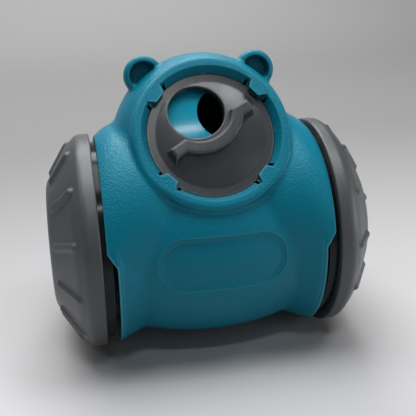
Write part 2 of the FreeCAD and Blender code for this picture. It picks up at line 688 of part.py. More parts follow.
def cover_screw_spots():
    """Where the two cover screws stand, as formulas."""
    for side in (-1, 1):
        yield f"{side} * Sizes.cover_screw_out", "(Sizes.ballast_front + Sizes.ballast_back) / 2"


def cover_posts(name, radius, low, high):
    """An upright cylinder at each cover screw."""
    return [place(primitive("Cylinder", name, Radius=radius, Height=f"({high}) - ({low})"), x=x, y=y, z=low)
            for x, y in cover_screw_spots()]


def outer_form():
    """The toy's whole outside, blended: barrel and shoulders, then head, door ring and ears."""
    head = place(primitive("Sphere", "HeadForm", Radius="Sizes.head_radius"),
                 y="Sizes.head_back", z="Sizes.head_rise", turn="90")
    stem = fuse("StemForm", barrel_form(), shoulder(-1), shoulder(1), head)
    stem.Refine = True

    def along_shoulder(kinds, middle):
        beside = kinds & {Part.SurfaceOfRevolution, Part.Cone}
        return Part.BSplineSurface in kinds and beside and 0 < middle.z < value("Sizes.shoulder_blend_top")

    def round_neck(kinds, middle):
        return Part.Sphere in kinds and len(kinds) > 1

    def round_ring(kinds, middle):
        others = kinds - {Part.Cone, Part.Plane, Part.Cylinder}
        near = (middle - lip_centre()).Length < value("Sizes.ring_blend_reach")
        return Part.Cone in kinds and others and near and middle.z > value("Sizes.ring_blend_low")

    def round_ear(kinds, middle):
        centre = Vector(*(value("Sizes.ear_" + way) for way in ("out", "back", "rise")))
        near = (Vector(abs(middle.x), middle.y, middle.z) - centre).Length < value("Sizes.ear_blend_reach")
        return Part.Sphere in kinds and len(kinds) > 1 and near

    stem = blend("ShoulderBlend", stem, "Sizes.shoulder_blend", along_shoulder)
    stem = blend("NeckBlend", stem, "Sizes.neck_blend", round_neck)
    stem = blend("RingBlend", fuse("WithRing", stem, ring_form()), "Sizes.ring_blend", round_ring)
    return blend("EarBlend", fuse("WithEars", stem, ear(-1), ear(1)), "Sizes.ear_blend", round_ear)


def shells():
    """The front and rear shells, split from one hollow form by the parting plane."""
    outer = outer_form()
    trimmed = cut("TrimmedForm", outer, fuse("Trims", belly_recess(), *fender_trim()))
    hollow_head = place(primitive("Sphere", "HeadCore", Radius="Sizes.head_radius - Sizes.shell_wall"),
                        y="Sizes.head_back", z="Sizes.head_rise")
    ring_block = in_head(turned("RingBlock", [
        ("0", f"-{PLATE_SEAT}"),
        ("Sizes.ring_radius - 1", f"-{PLATE_SEAT}"),
        ("Sizes.ring_radius - 1", "Sizes.head_radius"),
        ("0", "Sizes.head_radius"),
    ], axis="V_Axis"))
    chamber = cut("Chamber", fuse("Hollows", barrel_core(), hollow_head), ring_block)
    pocket = in_head(turned("PlatePocket", [
        ("0", f"-{PLATE_SEAT} - Sizes.ring_foot_depth"),
        ("Sizes.plate_radius + Sizes.plate_fit", f"-{PLATE_SEAT} - Sizes.ring_foot_depth"),
        ("Sizes.plate_radius + Sizes.plate_fit", f"-{PLATE_SEAT}"),
        ("0", f"-{PLATE_SEAT}"),
    ], axis="V_Axis"))
    pilots = plate_screw_spots(
        "PlatePilot", "Sizes.small_screw_radius", f"-{PLATE_SEAT} - 1",
        f"-{PLATE_SEAT} - Sizes.plate_wall + Sizes.plate_screw_length + Sizes.screw_end_gap")
    hollow = cut("HollowForm", trimmed, fuse("Hollow", chamber, pocket, door_well()))

    def round_lip(kinds, middle):
        reach = (middle - lip_centre()).Length
        return kinds == {Part.Plane, Part.Cone} and abs(reach - value("Sizes.ring_radius")) < SHORTEST_BLEND

    lipped = blend("LipRound", hollow, "Sizes.ring_round", round_lip)
    lugged = cut("LuggedForm", fuse("WithLugs", lipped, retaining_lugs()),
                 in_head(fuse("HeadCuts", *lug_slots(), stop_track(), *pilots)))

    front_bosses = common("FrontBosses", trimmed, fuse("FrontPosts", *on_each_boss(
        "FrontPost", "Sizes.boss_radius", "-1", "Sizes.boss_length")))
    front = cut("FrontShell", common("FrontHalf", fuse("FrontWhole", lugged, front_bosses), half_space("Ahead", True)),
                fuse("FrontPilots", *on_each_boss("FrontPilot", "Sizes.shell_screw_radius", "-1",
                                                  "Sizes.shell_screw_reach + Sizes.screw_end_gap")))
    finish(raise_to_axle(front), "front_shell")

    rear_posts = on_each_boss("RearPost", "Sizes.boss_radius", "-Sizes.wheel_radius", "1")
    cover_seats = cover_posts("CoverPost", "Sizes.cover_boss_radius", "-Sizes.wheel_radius",
                              "Sizes.ballast_top + Sizes.ballast_fit")
    rear_bosses = common("RearBosses", trimmed, fuse("RearPosts", *rear_posts, *cover_seats))
    wells = on_each_boss("ScrewWell", "Sizes.screw_well_radius", "-2 * Sizes.wheel_radius", "-Sizes.screw_seat")
    passages = on_each_boss("ScrewPassage", "Sizes.shell_screw_radius", "-Sizes.screw_seat - 1", "1")
    cover_pilots = cover_posts("CoverPilot", "Sizes.small_screw_radius",
                               "Sizes.ballast_top - Sizes.small_screw_length", "0")
    rear = cut("RearShell", common("RearHalf", fuse("RearWhole", lugged, rear_bosses), half_space("Behind", False)),
               fuse("RearHoles", *wells, *passages, *cover_pilots))
    finish(raise_to_axle(rear), "rear_shell")


def plate_screw_spots(name, radius, low, high):
    """A cylinder at each of the four plate screws, drawn about the door's axis."""
    return [place(primitive("Cylinder", name, Radius=radius, Height=f"({high}) - ({low})"),
                  x=f"Sizes.plate_screw_circle * cos({index * 90})",
                  y=f"Sizes.plate_screw_circle * sin({index * 90})", z=low)
            for index in range(4)]


def group(label, members):
    """Separate solids of one kind that share a node."""
    item = document.addObject("Part::Compound", label.title().replace("_", ""))
    item.Links = members
    return finish(item, label)


# Door and shutter plate
def grip():
    """The S-shaped grip: a round stretch that wraps the port, and two legs that flare out."""
    inner = "(Sizes.grip_radius - Sizes.grip_width / 2)"
    outer = "(Sizes.grip_radius + Sizes.grip_width / 2)"
    height = "(Sizes.grip_crest + Sizes.door_depth - 0.5)"

    def corner(side, radius, knee):
        return f"{side} * {radius} * sin({knee})", f"Sizes.port_offset - {radius} * cos({knee})"

    def tip(side, fall):
        return f"{side} * Sizes.grip_tip_out", f"Sizes.port_offset - {fall}"

    owner = body("GripForm")
    sketch = outline(owner, "GripProfile", "XY_Plane", [
        corner(-1, inner, "Sizes.grip_inner_knee"),
        tip(-1, "Sizes.grip_tip_inner"),
        tip(-1, "Sizes.grip_tip_outer"),
        corner(-1, outer, "Sizes.grip_outer_knee"),
        corner(1, outer, "Sizes.grip_outer_knee"),
        tip(1, "Sizes.grip_tip_outer"),
        tip(1, "Sizes.grip_tip_inner"),
        corner(1, inner, "Sizes.grip_inner_knee"),
    ], arcs={3: (outer, 1), 7: (inner, -1)})
    pad = owner.newObject("PartDesign::Pad", "GripPad")
    pad.Profile = sketch
    pad.Reversed = True
    bind(pad, Length=height, TaperAngle="Sizes.grip_draft")
    owner.Tip = pad
    place(owner, z="Sizes.grip_crest")

    def on_crest(kinds, middle):
        return abs(middle.z - value("Sizes.grip_crest")) < SHORTEST_BLEND

    return blend("Grip", owner, "Sizes.grip_round", on_crest)


def door():
    """The rotary door: a domed cap in a flange, with the treat port, its tube and the grip."""
    rise = "Sizes.door_dome_rise"
    outer = dome_radius("Sizes.door_dome_radius", rise)
    inside = "(Sizes.door_dome_radius - Sizes.port_wall)"
    inner = dome_radius(inside, f"{rise} - Sizes.door_wall + Sizes.door_flange_wall")
    crest = f"{rise} - Sizes.door_depth"
    foot = "-(Sizes.door_depth + Sizes.door_flange_wall)"
    rim = "Sizes.well_radius - Sizes.door_clearance"
    cap = turned("DoorCap", [
        ("0", f"{crest} - Sizes.door_wall"),
        (inside, foot),
        (rim, foot),
        (rim, "-Sizes.door_depth"),
        ("Sizes.door_dome_radius", "-Sizes.door_depth"),
        ("0", crest),
    ], axis="V_Axis", arcs={0: (inner, -1), 4: (outer, 1)})
    under = f"-{PLATE_SEAT} - Sizes.plate_wall"
    mass = turned("DoorMass", [
        ("0", under),
        ("Sizes.door_dome_radius", under),
        ("Sizes.door_dome_radius", "-Sizes.door_depth"),
        ("0", crest),
    ], axis="V_Axis", arcs={2: (outer, 1)})
    tube = place(primitive("Cylinder", "PortTube", Radius="Sizes.port_radius + Sizes.port_wall",
                           Height="2 * Sizes.head_radius"), y="Sizes.port_offset", z="-Sizes.head_radius")
    port = place(primitive("Cylinder", "PortBore", Radius="Sizes.port_radius",
                           Height="2 * Sizes.head_radius"), y="Sizes.port_offset", z="-Sizes.head_radius")
    key = sector("StopKey", "Sizes.ledge_radius + 0.2", rim, f"{foot} - Sizes.stop_depth", f"{foot} + 0.5",
                 "-90", "Sizes.stop_width")
    features = cut("DoorFeatures", fuse("DoorMaterial", common("PortWall", tube, mass), grip(), key), port)
    place(features, turn="Sizes.port_angle - 90")
    hole = place(primitive("Cylinder", "CapHole", Radius="Sizes.port_radius", Height="2 * Sizes.head_radius"),
                 x="Sizes.port_offset * cos(Sizes.port_angle)", y="Sizes.port_offset * sin(Sizes.port_angle)",
                 z="-Sizes.head_radius")
    sweep = turned("PlateSweep", dish_corners("Sizes.door_clearance + 0.2", "-Sizes.head_radius"),
                   axis="V_Axis", arcs={2: (DISH_BULGE, 1)})
    whole = cut("DoorWhole", fuse("DoorFused", cut("DoorRing", cap, hole), features), sweep)

    def on_port(kinds, middle):
        turn = math.radians(value("Sizes.port_angle"))
        centre = Vector(math.cos(turn), math.sin(turn), 0) * value("Sizes.port_offset")
        reach = math.hypot(middle.x - centre.x, middle.y - centre.y)
        return kinds == {Part.Sphere, Part.Cylinder} and abs(reach - value("Sizes.port_radius")) < SHORTEST_BLEND

    return finish(in_toy_head(blend("PortRound", whole, "Sizes.port_round", on_port)), "rotary_door")


DISH_RISE = "Sizes.plate_dish_depth - Sizes.plate_crest_depth"
DISH_BULGE = dome_radius("Sizes.plate_dish_radius", DISH_RISE)


def dish_corners(lift, low):
    """Profile under the plate's domed face, raised by a clearance, down to a depth."""
    return [
        ("0", low),
        ("Sizes.plate_dish_radius", low),
        ("Sizes.plate_dish_radius", f"{lift} - Sizes.plate_dish_depth"),
        ("0", f"{lift} - Sizes.plate_crest_depth"),
    ]


def shutter_plate():
    """The fixed plate behind the door: a flange and a domed dish with the off-centre plate port."""
    seat = f"-{PLATE_SEAT}"
    inner = "(Sizes.plate_dish_radius + Sizes.plate_wall / 2)"
    floor = "-Sizes.plate_dish_depth - Sizes.plate_wall"
    disc = turned("PlateDisc", [
        ("0", "-Sizes.plate_crest_depth - Sizes.plate_wall"),
        (inner, floor),
        (inner, f"{seat} - Sizes.plate_wall"),
        ("Sizes.plate_radius", f"{seat} - Sizes.plate_wall"),
        ("Sizes.plate_radius", seat),
        ("Sizes.ledge_radius", seat),
        ("Sizes.plate_dish_radius", "-Sizes.plate_dish_depth"),
        ("0", "-Sizes.plate_crest_depth"),
    ], axis="V_Axis", arcs={0: (dome_radius(inner, DISH_RISE), -1), 6: (DISH_BULGE, 1)})
    port = place(primitive("Cylinder", "PlatePort", Radius="Sizes.plate_port_radius", Height="2 * Sizes.head_radius"),
                 x="Sizes.plate_port_offset * cos(Sizes.plate_port_angle)",
                 y="Sizes.plate_port_offset * sin(Sizes.plate_port_angle)", z="-Sizes.head_radius")
    holes = plate_screw_spots("PlateHole", "Sizes.small_screw_radius", "-Sizes.head_radius", "0")
    finish(in_toy_head(cut("ShutterPlate", disc, fuse("PlateCuts", port, *holes))), "shutter_plate")

    seat_low = f"-{PLATE_SEAT} - Sizes.plate_wall"
    shanks = plate_screw_spots("PlateShank", "Sizes.small_screw_radius", seat_low,
                               f"{seat_low} + Sizes.plate_screw_length")
    heads = plate_screw_spots("PlateHead", "Sizes.small_head_radius", f"{seat_low} - Sizes.small_head_height",
                              seat_low)
    screws = [in_toy_head(fuse("PlateScrew", shank, top)) for shank, top in zip(shanks, heads)]
    group("plate_screws", screws)


# Ballast, its cover and the shell screws
def ballast():
    """The steel slug low in the barrel, its cover and the cover's screws."""
    def block(name, grow, low, high):
        item = primitive("Box", name, Length=f"2 * (Sizes.ballast_half + {grow})",
                         Width=f"Sizes.ballast_back - Sizes.ballast_front + 2 * ({grow})",
                         Height=f"({high}) - ({low})")
        return place(item, x=f"-Sizes.ballast_half - ({grow})", y=f"Sizes.ballast_front - ({grow})", z=low)

    bed = belly_inside("BallastBed", "Sizes.shell_wall + Sizes.ballast_fit")
    slug = common("BallastSlug", block("SlugBlock", "0", "-Sizes.wheel_radius", "Sizes.ballast_top"), bed)
    finish(raise_to_axle(slug), "ballast_slug")

    top = "Sizes.ballast_top + Sizes.ballast_fit"
    skirt = block("CoverBlock", "(Sizes.ballast_fit + Sizes.cover_wall)", "-Sizes.wheel_radius",
                  f"{top} + Sizes.cover_wall")
    tab = primitive("Box", "CoverTab", Length="2 * (Sizes.cover_screw_out + Sizes.cover_boss_radius)",
                    Width="2 * Sizes.cover_boss_radius", Height="Sizes.cover_wall")
    place(tab, x="-Sizes.cover_screw_out - Sizes.cover_boss_radius",
          y="(Sizes.ballast_front + Sizes.ballast_back) / 2 - Sizes.cover_boss_radius", z=top)
    room = block("CoverRoom", "Sizes.ballast_fit", "-Sizes.wheel_radius - 1", top)
    holes = cover_posts("CoverHole", "Sizes.small_screw_radius", "-Sizes.wheel_radius", "0")
    lid = cut("BallastCover", common("CoverForm", fuse("CoverBlocks", skirt, tab), bed),
              fuse("CoverCuts", room, *holes))
    finish(raise_to_axle(lid), "ballast_cover")

    seat = f"({top} + Sizes.cover_wall)"
    shanks = cover_posts("CoverShank", "Sizes.small_screw_radius", f"{seat} - Sizes.small_screw_length", seat)
    heads = cover_posts("CoverHead", "Sizes.small_head_radius", seat, f"{seat} + Sizes.small_head_height")
    group("cover_screws", [raise_to_axle(fuse("CoverScrew", shank, cap)) for shank, cap in zip(shanks, heads)])


def shell_screws():
    """The screws that draw the rear shell on to the front one."""
    shanks = on_each_boss("ShellShank", "Sizes.shell_screw_radius", "-Sizes.screw_seat", "Sizes.shell_screw_reach")
    heads = on_each_boss("ShellHead", "Sizes.shell_head_radius", "-Sizes.screw_seat - Sizes.shell_head_height",
                         "-Sizes.screw_seat")
    group("shell_screws", [raise_to_axle(fuse("ShellScrew", shank, cap)) for shank, cap in zip(shanks, heads)])


# Wheels, drawn with their outer side towards +X
def to_side(item, side, phase="0"):
    """Place a wheel-side sub-part on its side of the toy."""
    if side < 0:
        return place(item, z="Sizes.wheel_radius", axis=UP, turn="180")
    return place(item, z="Sizes.wheel_radius", axis=AXLE, turn=phase)


def polar(owner, name, feature, count):
    """Repeat a feature evenly about the axle."""
    pattern = owner.newObject("PartDesign::PolarPattern", name)
    pattern.Originals = [feature]
    pattern.Axis = (origin_plane(owner, "X_Axis"), [""])
    pattern.Angle = 360
    pattern.setExpression("Occurrences", count)
    owner.Tip = pattern
    return pattern


def wheel_dome(side, tag):
    """The thick moulded wheel: a flatted tread, a sloping face with beaded ribs, and a centre flat."""
    corner_radius = f"({FLATS_RADIUS} + Sizes.tread_skin)"
    slope = "(Sizes.face_drop / Sizes.face_run)"
    length = "sqrt(Sizes.face_run ^ 2 + Sizes.face_drop ^ 2)"
    owner = turned("Dome" + tag, [
        ("Sizes.lip_station", "0"),
        (FACE_STATION, "0"),
        (FACE_STATION, f"{corner_radius} - Sizes.face_drop"),
        (TREAD_CORNER, corner_radius),
        ("Sizes.lip_station", corner_radius),
    ])
    round_edges(owner, "FlatRound" + tag, "Sizes.flat_round", ring_at(f"{corner_radius} - Sizes.face_drop"))
    round_edges(owner, "TreadRound" + tag, "Sizes.tread_round", ring_at(corner_radius))

    rim = "(Sizes.drum_radius + Sizes.cap_fit)"
    seat = f"({rim} - Sizes.drum_wall)"
    offset = f"Sizes.dome_wall * {length} / Sizes.face_run"
    inner_face = f"({FACE_STATION} - Sizes.dome_wall)"
    hollow = outline(owner, "DomeHollow" + tag, "XZ_Plane", [
        ("Sizes.lip_station - 1", "0"),
        (inner_face, "0"),
        (inner_face, f"{corner_radius} - {offset} - ({inner_face} - {TREAD_CORNER}) * {slope}"),
        (f"{TREAD_CORNER} + ({corner_radius} - {offset} - {seat}) / {slope}", seat),
        ("Sizes.drum_end", seat),
        ("Sizes.drum_end", rim),
        ("Sizes.lip_station - 1", rim),
    ])
    revolve(owner, "DomeGroove" + tag, hollow, "H_Axis", groove=True)
    cap_seat = f"{FACE_STATION} - Sizes.hub_cap_wall"
    opening = outline(owner, "HubOpening" + tag, "XZ_Plane", [
        (f"{inner_face} - 1", "0"),
        (f"{FACE_STATION} + 1", "0"),
        (f"{FACE_STATION} + 1", "Sizes.hub_cap_radius + Sizes.cap_fit"),
        (cap_seat, "Sizes.hub_cap_radius + Sizes.cap_fit"),
        (cap_seat, "Sizes.hub_recess"),
        (f"{inner_face} - 1", "Sizes.hub_recess"),
    ])
    revolve(owner, "HubGroove" + tag, opening, "H_Axis", groove=True)

    run, fall = f"(Sizes.face_run / {length})", f"(Sizes.face_drop / {length})"
    middle = f"({TREAD_CORNER} + ({corner_radius} - Sizes.rib_middle) / {slope})"
    sink = "(Sizes.rib_bead_radius - Sizes.rib_height)"
    half = "Sizes.rib_length / 2"
    bead = "Sizes.rib_bead_radius"

    def spot(along, out):
        return (f"{middle} + ({along}) * {run} + ({out} - {sink}) * {fall}",
                f"Sizes.rib_middle - ({along}) * {fall} + ({out} - {sink}) * {run}")

    rib = outline(owner, "RibProfile" + tag, "XZ_Plane", [
        spot(f"-({half} + {bead})", "0"),
        spot(f"{half} + {bead}", "0"),
        spot(half, bead),
        spot(f"-({half})", bead),
    ], arcs={1: (bead, 1), 3: (bead, 1)})
    feature = revolve(owner, "Rib" + tag, rib, "Edge1")
    polar(owner, "Ribs" + tag, feature, "Sizes.rib_count")
    flats = primitive("Prism", "TreadFlats" + tag, Polygon="Sizes.tread_flats", Circumradius=FLATS_RADIUS,
                      Height="Sizes.wheel_radius")
    place(flats, x="Sizes.lip_station - 1", axis=Vector(1, 1, 1), turn="120")
    wheel = common("Wheel" + tag, owner, flats)
    return finish(to_side(wheel, side, "Sizes.right_phase"), tag.lower() + "_wheel_dome")


def wheel_drum(side, tag):
    """The stiff drum inside the wheel: rim, web, hub tube and spokes."""
    inner_face = f"{FACE_STATION} - Sizes.dome_wall"
    web = "Sizes.drum_end - Sizes.drum_wall"
    inside = "Sizes.drum_radius - Sizes.drum_wall"
    owner = turned("Drum" + tag, [
        (BUSH_START, "Sizes.hub_bore"),
        (BUSH_END, "Sizes.hub_bore"),
        (BUSH_END, "Sizes.hub_recess"),
        (inner_face, "Sizes.hub_recess"),
        (inner_face, "Sizes.hub_radius"),
        ("Sizes.drum_end", "Sizes.hub_radius"),
        ("Sizes.drum_end", "Sizes.drum_radius"),
        ("Sizes.drum_start", "Sizes.drum_radius"),
        ("Sizes.drum_start", inside),
        (web, inside),
        (web, "Sizes.hub_radius"),
        (BUSH_START, "Sizes.hub_radius"),
    ])
    sketch = outline(owner, "SpokeProfile" + tag, "XZ_Plane", [
        ("Sizes.drum_start + Sizes.drum_wall", "Sizes.hub_radius - 1"),
        (f"{web} + 0.5", "Sizes.hub_radius - 1"),
        (f"{web} + 0.5", f"{inside} + 0.5"),
        ("Sizes.drum_start + Sizes.drum_wall", f"{inside} + 0.5"),
    ])
    spoke = owner.newObject("PartDesign::Pad", "Spoke" + tag)
    spoke.Profile = sketch
    spoke.SideType = "Symmetric"
    spoke.setExpression("Length", "Sizes.spoke_wall")
    polar(owner, "Spokes" + tag, spoke, "Sizes.drum_spokes")
    return finish(to_side(owner, side), tag.lower() + "_wheel_drum")


def end_plate(side, tag):
    """The plate that closes an end of the barrel and carries the axle pin."""
    outside = "Sizes.plate_station + Sizes.end_plate_wall"
    inner_end = "Sizes.plate_station - Sizes.boss_inner_length"
    owner = turned("EndPlate" + tag, [
        (inner_end, "Sizes.pin_radius"),
        (f"{outside} + Sizes.boss_outer_length", "Sizes.pin_radius"),
        (f"{outside} + Sizes.boss_outer_length", "Sizes.boss_outer_radius"),
        (outside, "Sizes.boss_outer_radius"),
        (outside, "Sizes.end_plate_radius"),
        ("Sizes.plate_station", "Sizes.end_plate_radius"),
        ("Sizes.plate_station", "Sizes.boss_outer_radius"),
        (inner_end, "Sizes.boss_outer_radius"),
    ])
    rib_end = "Sizes.waist_radius - 2 * Sizes.shell_wall"
    sketch = outline(owner, "PlateRibProfile" + tag, "XZ_Plane", [
        ("Sizes.plate_station - Sizes.plate_rib_height", "Sizes.boss_outer_radius - 1"),
        ("Sizes.plate_station + 0.5", "Sizes.boss_outer_radius - 1"),
        ("Sizes.plate_station + 0.5", rib_end),
        ("Sizes.plate_station - 0.4", rib_end),
    ])
    rib = owner.newObject("PartDesign::Pad", "PlateRib" + tag)
    rib.Profile = sketch
    rib.SideType = "Symmetric"
    rib.setExpression("Length", "Sizes.spoke_wall")
    polar(owner, "PlateRibs" + tag, rib, "Sizes.plate_ribs")
    return finish(to_side(owner, side), tag.lower() + "_end_plate")


def axle_parts(side, tag):
    """The pin that a wheel turns on, its bush, its washer, its screw and the hub cap."""
    low = tag.lower()
    head = "Sizes.plate_station - Sizes.boss_inner_length"
    finish(to_side(turned("AxlePin" + tag, [
        (f"{head} - Sizes.pin_head_length", "0"),
        (f"{PIN_END} - Sizes.axle_screw_length - 1", "0"),
        (f"{PIN_END} - Sizes.axle_screw_length - 1", "Sizes.axle_screw_radius"),
        (PIN_END, "Sizes.axle_screw_radius"),
        (PIN_END, "Sizes.pin_radius"),
        (head, "Sizes.pin_radius"),
        (head, "Sizes.pin_head_radius"),
        (f"{head} - Sizes.pin_head_length", "Sizes.pin_head_radius"),
    ]), side), low + "_axle_pin")
    finish(to_side(turned("Bush" + tag, [
        (BUSH_START, "Sizes.pin_radius + Sizes.running_fit"),
        (BUSH_END, "Sizes.pin_radius + Sizes.running_fit"),
        (BUSH_END, "Sizes.hub_bore"),
        (BUSH_START, "Sizes.hub_bore"),
    ]), side), low + "_hub_bush")
    washer_end = f"{PIN_END} + Sizes.washer_wall"
    finish(to_side(turned("Washer" + tag, [
        (PIN_END, "Sizes.axle_screw_radius"),
        (washer_end, "Sizes.axle_screw_radius"),
        (washer_end, "Sizes.washer_radius"),
        (PIN_END, "Sizes.washer_radius"),
    ]), side), low + "_axle_washer")
    finish(to_side(turned("AxleScrew" + tag, [
        (f"{PIN_END} - Sizes.axle_screw_length", "0"),
        (f"{washer_end} + Sizes.axle_head_height", "0"),
        (f"{washer_end} + Sizes.axle_head_height", "Sizes.axle_head_radius"),
        (washer_end, "Sizes.axle_head_radius"),
        (washer_end, "Sizes.axle_screw_radius"),
        (f"{PIN_END} - Sizes.axle_screw_length", "Sizes.axle_screw_radius"),
    ]), side), low + "_axle_screw")
    cap_seat = f"{FACE_STATION} - Sizes.hub_cap_wall"
    plug = "Sizes.hub_recess - Sizes.cap_fit"
    finish(to_side(turned("HubCap" + tag, [
        (f"{FACE_STATION} - Sizes.hub_cap_wall / 2", "0"),
        (FACE_STATION, "0"),
        (FACE_STATION, "Sizes.hub_cap_radius"),
        (cap_seat, "Sizes.hub_cap_radius"),
        (cap_seat, plug),
        (f"{cap_seat} - Sizes.cap_plug_length", plug),
        (f"{cap_seat} - Sizes.cap_plug_length", f"{plug} - Sizes.hub_cap_wall"),
        (f"{FACE_STATION} - Sizes.hub_cap_wall / 2", f"{plug} - Sizes.hub_cap_wall"),
    ]), side), low + "_hub_cap")


shells()
door()
shutter_plate()
ballast()
shell_screws()
for wheel_side, wheel_tag in ((-1, "Left"), (1, "Right")):
    end_plate(wheel_side, wheel_tag)
    axle_parts(wheel_side, wheel_tag)
    wheel_drum(wheel_side, wheel_tag)
    wheel_dome(wheel_side, wheel_tag)

document.recompute()
for item in document.Objects:
    if "Invalid" in item.State or "Error" in item.State:
        raise RuntimeError(f"{item.Name} failed: {item.State}")
os.makedirs("parts", exist_ok=True)
for item in nodes:
    if item.Shape.isNull() or not item.Shape.isValid() or not item.Shape.Solids:
        raise RuntimeError(f"{item.Label} has no valid shape")
    item.Shape.exportStep(f"parts/{item.Label}.step")
    print(f"{item.Label}: {len(item.Shape.Solids)} solid(s), {item.Shape.Volume:.0f} mm3")
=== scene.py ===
"""Treat dispensing toy: the finishes, small details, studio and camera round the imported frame.

Everything is in metres in the frame of the CAD model: the origin is on the floor midway
between the wheels, +X runs to the right wheel as seen from the front, -Y is the front with
the door and +Z is up.
"""
from __future__ import annotations

import logging
import math
from dataclasses import dataclass
from enum import Enum
from typing import ClassVar

import bmesh
import bpy
from mathutils import Matrix, Vector

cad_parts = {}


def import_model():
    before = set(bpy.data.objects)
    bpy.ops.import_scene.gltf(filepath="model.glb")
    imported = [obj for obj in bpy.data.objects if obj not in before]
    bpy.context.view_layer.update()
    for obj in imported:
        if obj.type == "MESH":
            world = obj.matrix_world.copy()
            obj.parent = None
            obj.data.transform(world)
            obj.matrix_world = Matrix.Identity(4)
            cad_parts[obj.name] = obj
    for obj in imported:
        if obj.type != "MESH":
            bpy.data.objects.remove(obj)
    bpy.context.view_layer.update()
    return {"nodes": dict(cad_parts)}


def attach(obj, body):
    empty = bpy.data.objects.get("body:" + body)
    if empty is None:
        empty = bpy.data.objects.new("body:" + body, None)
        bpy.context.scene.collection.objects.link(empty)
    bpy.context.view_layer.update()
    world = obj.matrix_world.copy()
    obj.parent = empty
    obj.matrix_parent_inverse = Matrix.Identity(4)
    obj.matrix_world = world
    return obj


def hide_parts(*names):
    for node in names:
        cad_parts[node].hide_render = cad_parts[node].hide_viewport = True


LOG = logging.getLogger("treat_toy")
Point = tuple[float, float]
Pair = tuple[float, float]
Spot = tuple[float, float, float]
Colour = tuple[float, float, float]
Socket = bpy.types.NodeSocket

MM = 0.001
AXLE_HEIGHT = 46.0 * MM
# The parting plane between the shells: its tilt in degrees, and in millimetres how far behind it
# the shell screws' heads sit and how far up it the topmost screw stands.
PARTING_TILT = 26.0
SHELL_SEAT = 6.0
TOP_SCREW_RISE = 64.5


def linear(channel: float) -> float:
    """Turn one sRGB channel, from 0 to 255, into a linear one."""
    share = channel / 255.0
    if share <= 0.04045:
        return share / 12.92
    return ((share + 0.055) / 1.055) ** 2.4


def rgba(red: float, green: float, blue: float) -> tuple[float, float, float, float]:
    """Turn an sRGB colour, from 0 to 255, into a linear colour with full alpha."""
    return linear(red), linear(green), linear(blue), 1.0


def grey(tone: float) -> tuple[float, float, float, float]:
    """Turn one sRGB grey, from 0 to 255, into a linear colour with full alpha."""
    return rgba(tone, tone, tone)


class Slot(Enum):
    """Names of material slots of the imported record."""

    TEAL_SHELL = "teal_shell"
    GREY_PLASTIC = "grey_plastic"
    SCREW_STEEL = "screw_steel"


@dataclass(frozen=True)
class Plastic:
    """One moulded plastic finish.

    Attributes:
        name: Name of the material.
        colour: sRGB colour from 0 to 255.
        deep: sRGB colour that the tone drifts towards.
        roughness: Middle roughness.
        drift: Share of tone drift between the two colours.
        edge: Radius of the soft moulded edge in metres.
        grain: Height of the spark-eroded grain in metres.
        grain_size: Size of one grain in metres.
        specular: Specular level of the surface.
        gleam: Linear tint of the surface's reflections.
        painted_crevice_shade: Share of the tone lost to painted shade in deep corners.
        painted_edge_tint: sRGB colour of the painted highlight on thin convex edges.
        painted_edge_share: Share of that painted highlight on an edge.
    """

    name: str
    colour: Colour
    deep: Colour
    roughness: float
    drift: float
    edge: float
    grain: float = 0.0
    grain_size: float = 0.0006
    specular: float = 0.5
    gleam: Colour = (1.0, 1.0, 1.0)
    painted_crevice_shade: float = 0.0
    painted_edge_tint: Colour = (0, 0, 0)
    painted_edge_share: float = 0.0


@dataclass(frozen=True)
class Steel:
    """One steel finish.

    Attributes:
        name: Name of the material.
        colour: sRGB colour from 0 to 255.
        roughness: Middle roughness.
        turning: Depth of the turning marks in metres.
    """

    name: str
    colour: Colour
    roughness: float
    turning: float


# Some finishes below carry painted shade in their corners and a painted highlight on their thin convex
# edges.
TEAL_SHELL = Plastic("teal_moulded", (0, 122, 148), (0, 111, 137), roughness=0.39, drift=0.5, edge=0.0006,
                     grain=0.00015, specular=0.38, gleam=(0.5, 0.95, 1.0), painted_crevice_shade=0.5,
                     painted_edge_tint=(96, 188, 210), painted_edge_share=0.5)
# The shutter plate's polish is its own, and its teal is painted lighter than the shell's as painted light
# reaching it through the port.
LIT_TEAL_GLOSS = Plastic("teal_polished_lit", (0, 158, 190), (0, 146, 178), roughness=0.14, drift=0.3, edge=0.0003,
                     specular=0.3)
WARM_GREY = Plastic("warm_grey_satin", (70, 73, 76), (63, 67, 70), roughness=0.42, drift=0.5, edge=0.0004,
                    grain=0.00004, specular=0.6, painted_edge_tint=(128, 132, 134), painted_edge_share=0.35)
DOOR_GREY = Plastic("door_grey_satin", (52, 58, 61), (46, 52, 55), roughness=0.28, drift=0.5, edge=0.0009,
                    grain=0.00003, specular=0.6, painted_edge_tint=(150, 155, 158), painted_edge_share=0.5)
CHARCOAL = Plastic("charcoal_drum", (22, 33, 36), (18, 29, 32), roughness=0.16, drift=0.3, edge=0.0003,
                   specular=0.18, painted_crevice_shade=0.5)
BUSH = Plastic("bush_natural", (214, 210, 198), (200, 196, 184), roughness=0.4, drift=0.3, edge=0.0002)
AXLE = Steel("axle_ground", (186, 188, 190), roughness=0.22, turning=0.000004)
SCREW = Steel("screw_zinc", (170, 172, 172), roughness=0.32, turning=0.000003)
BALLAST = Steel("ballast_rolled", (120, 122, 124), roughness=0.5, turning=0.000008)


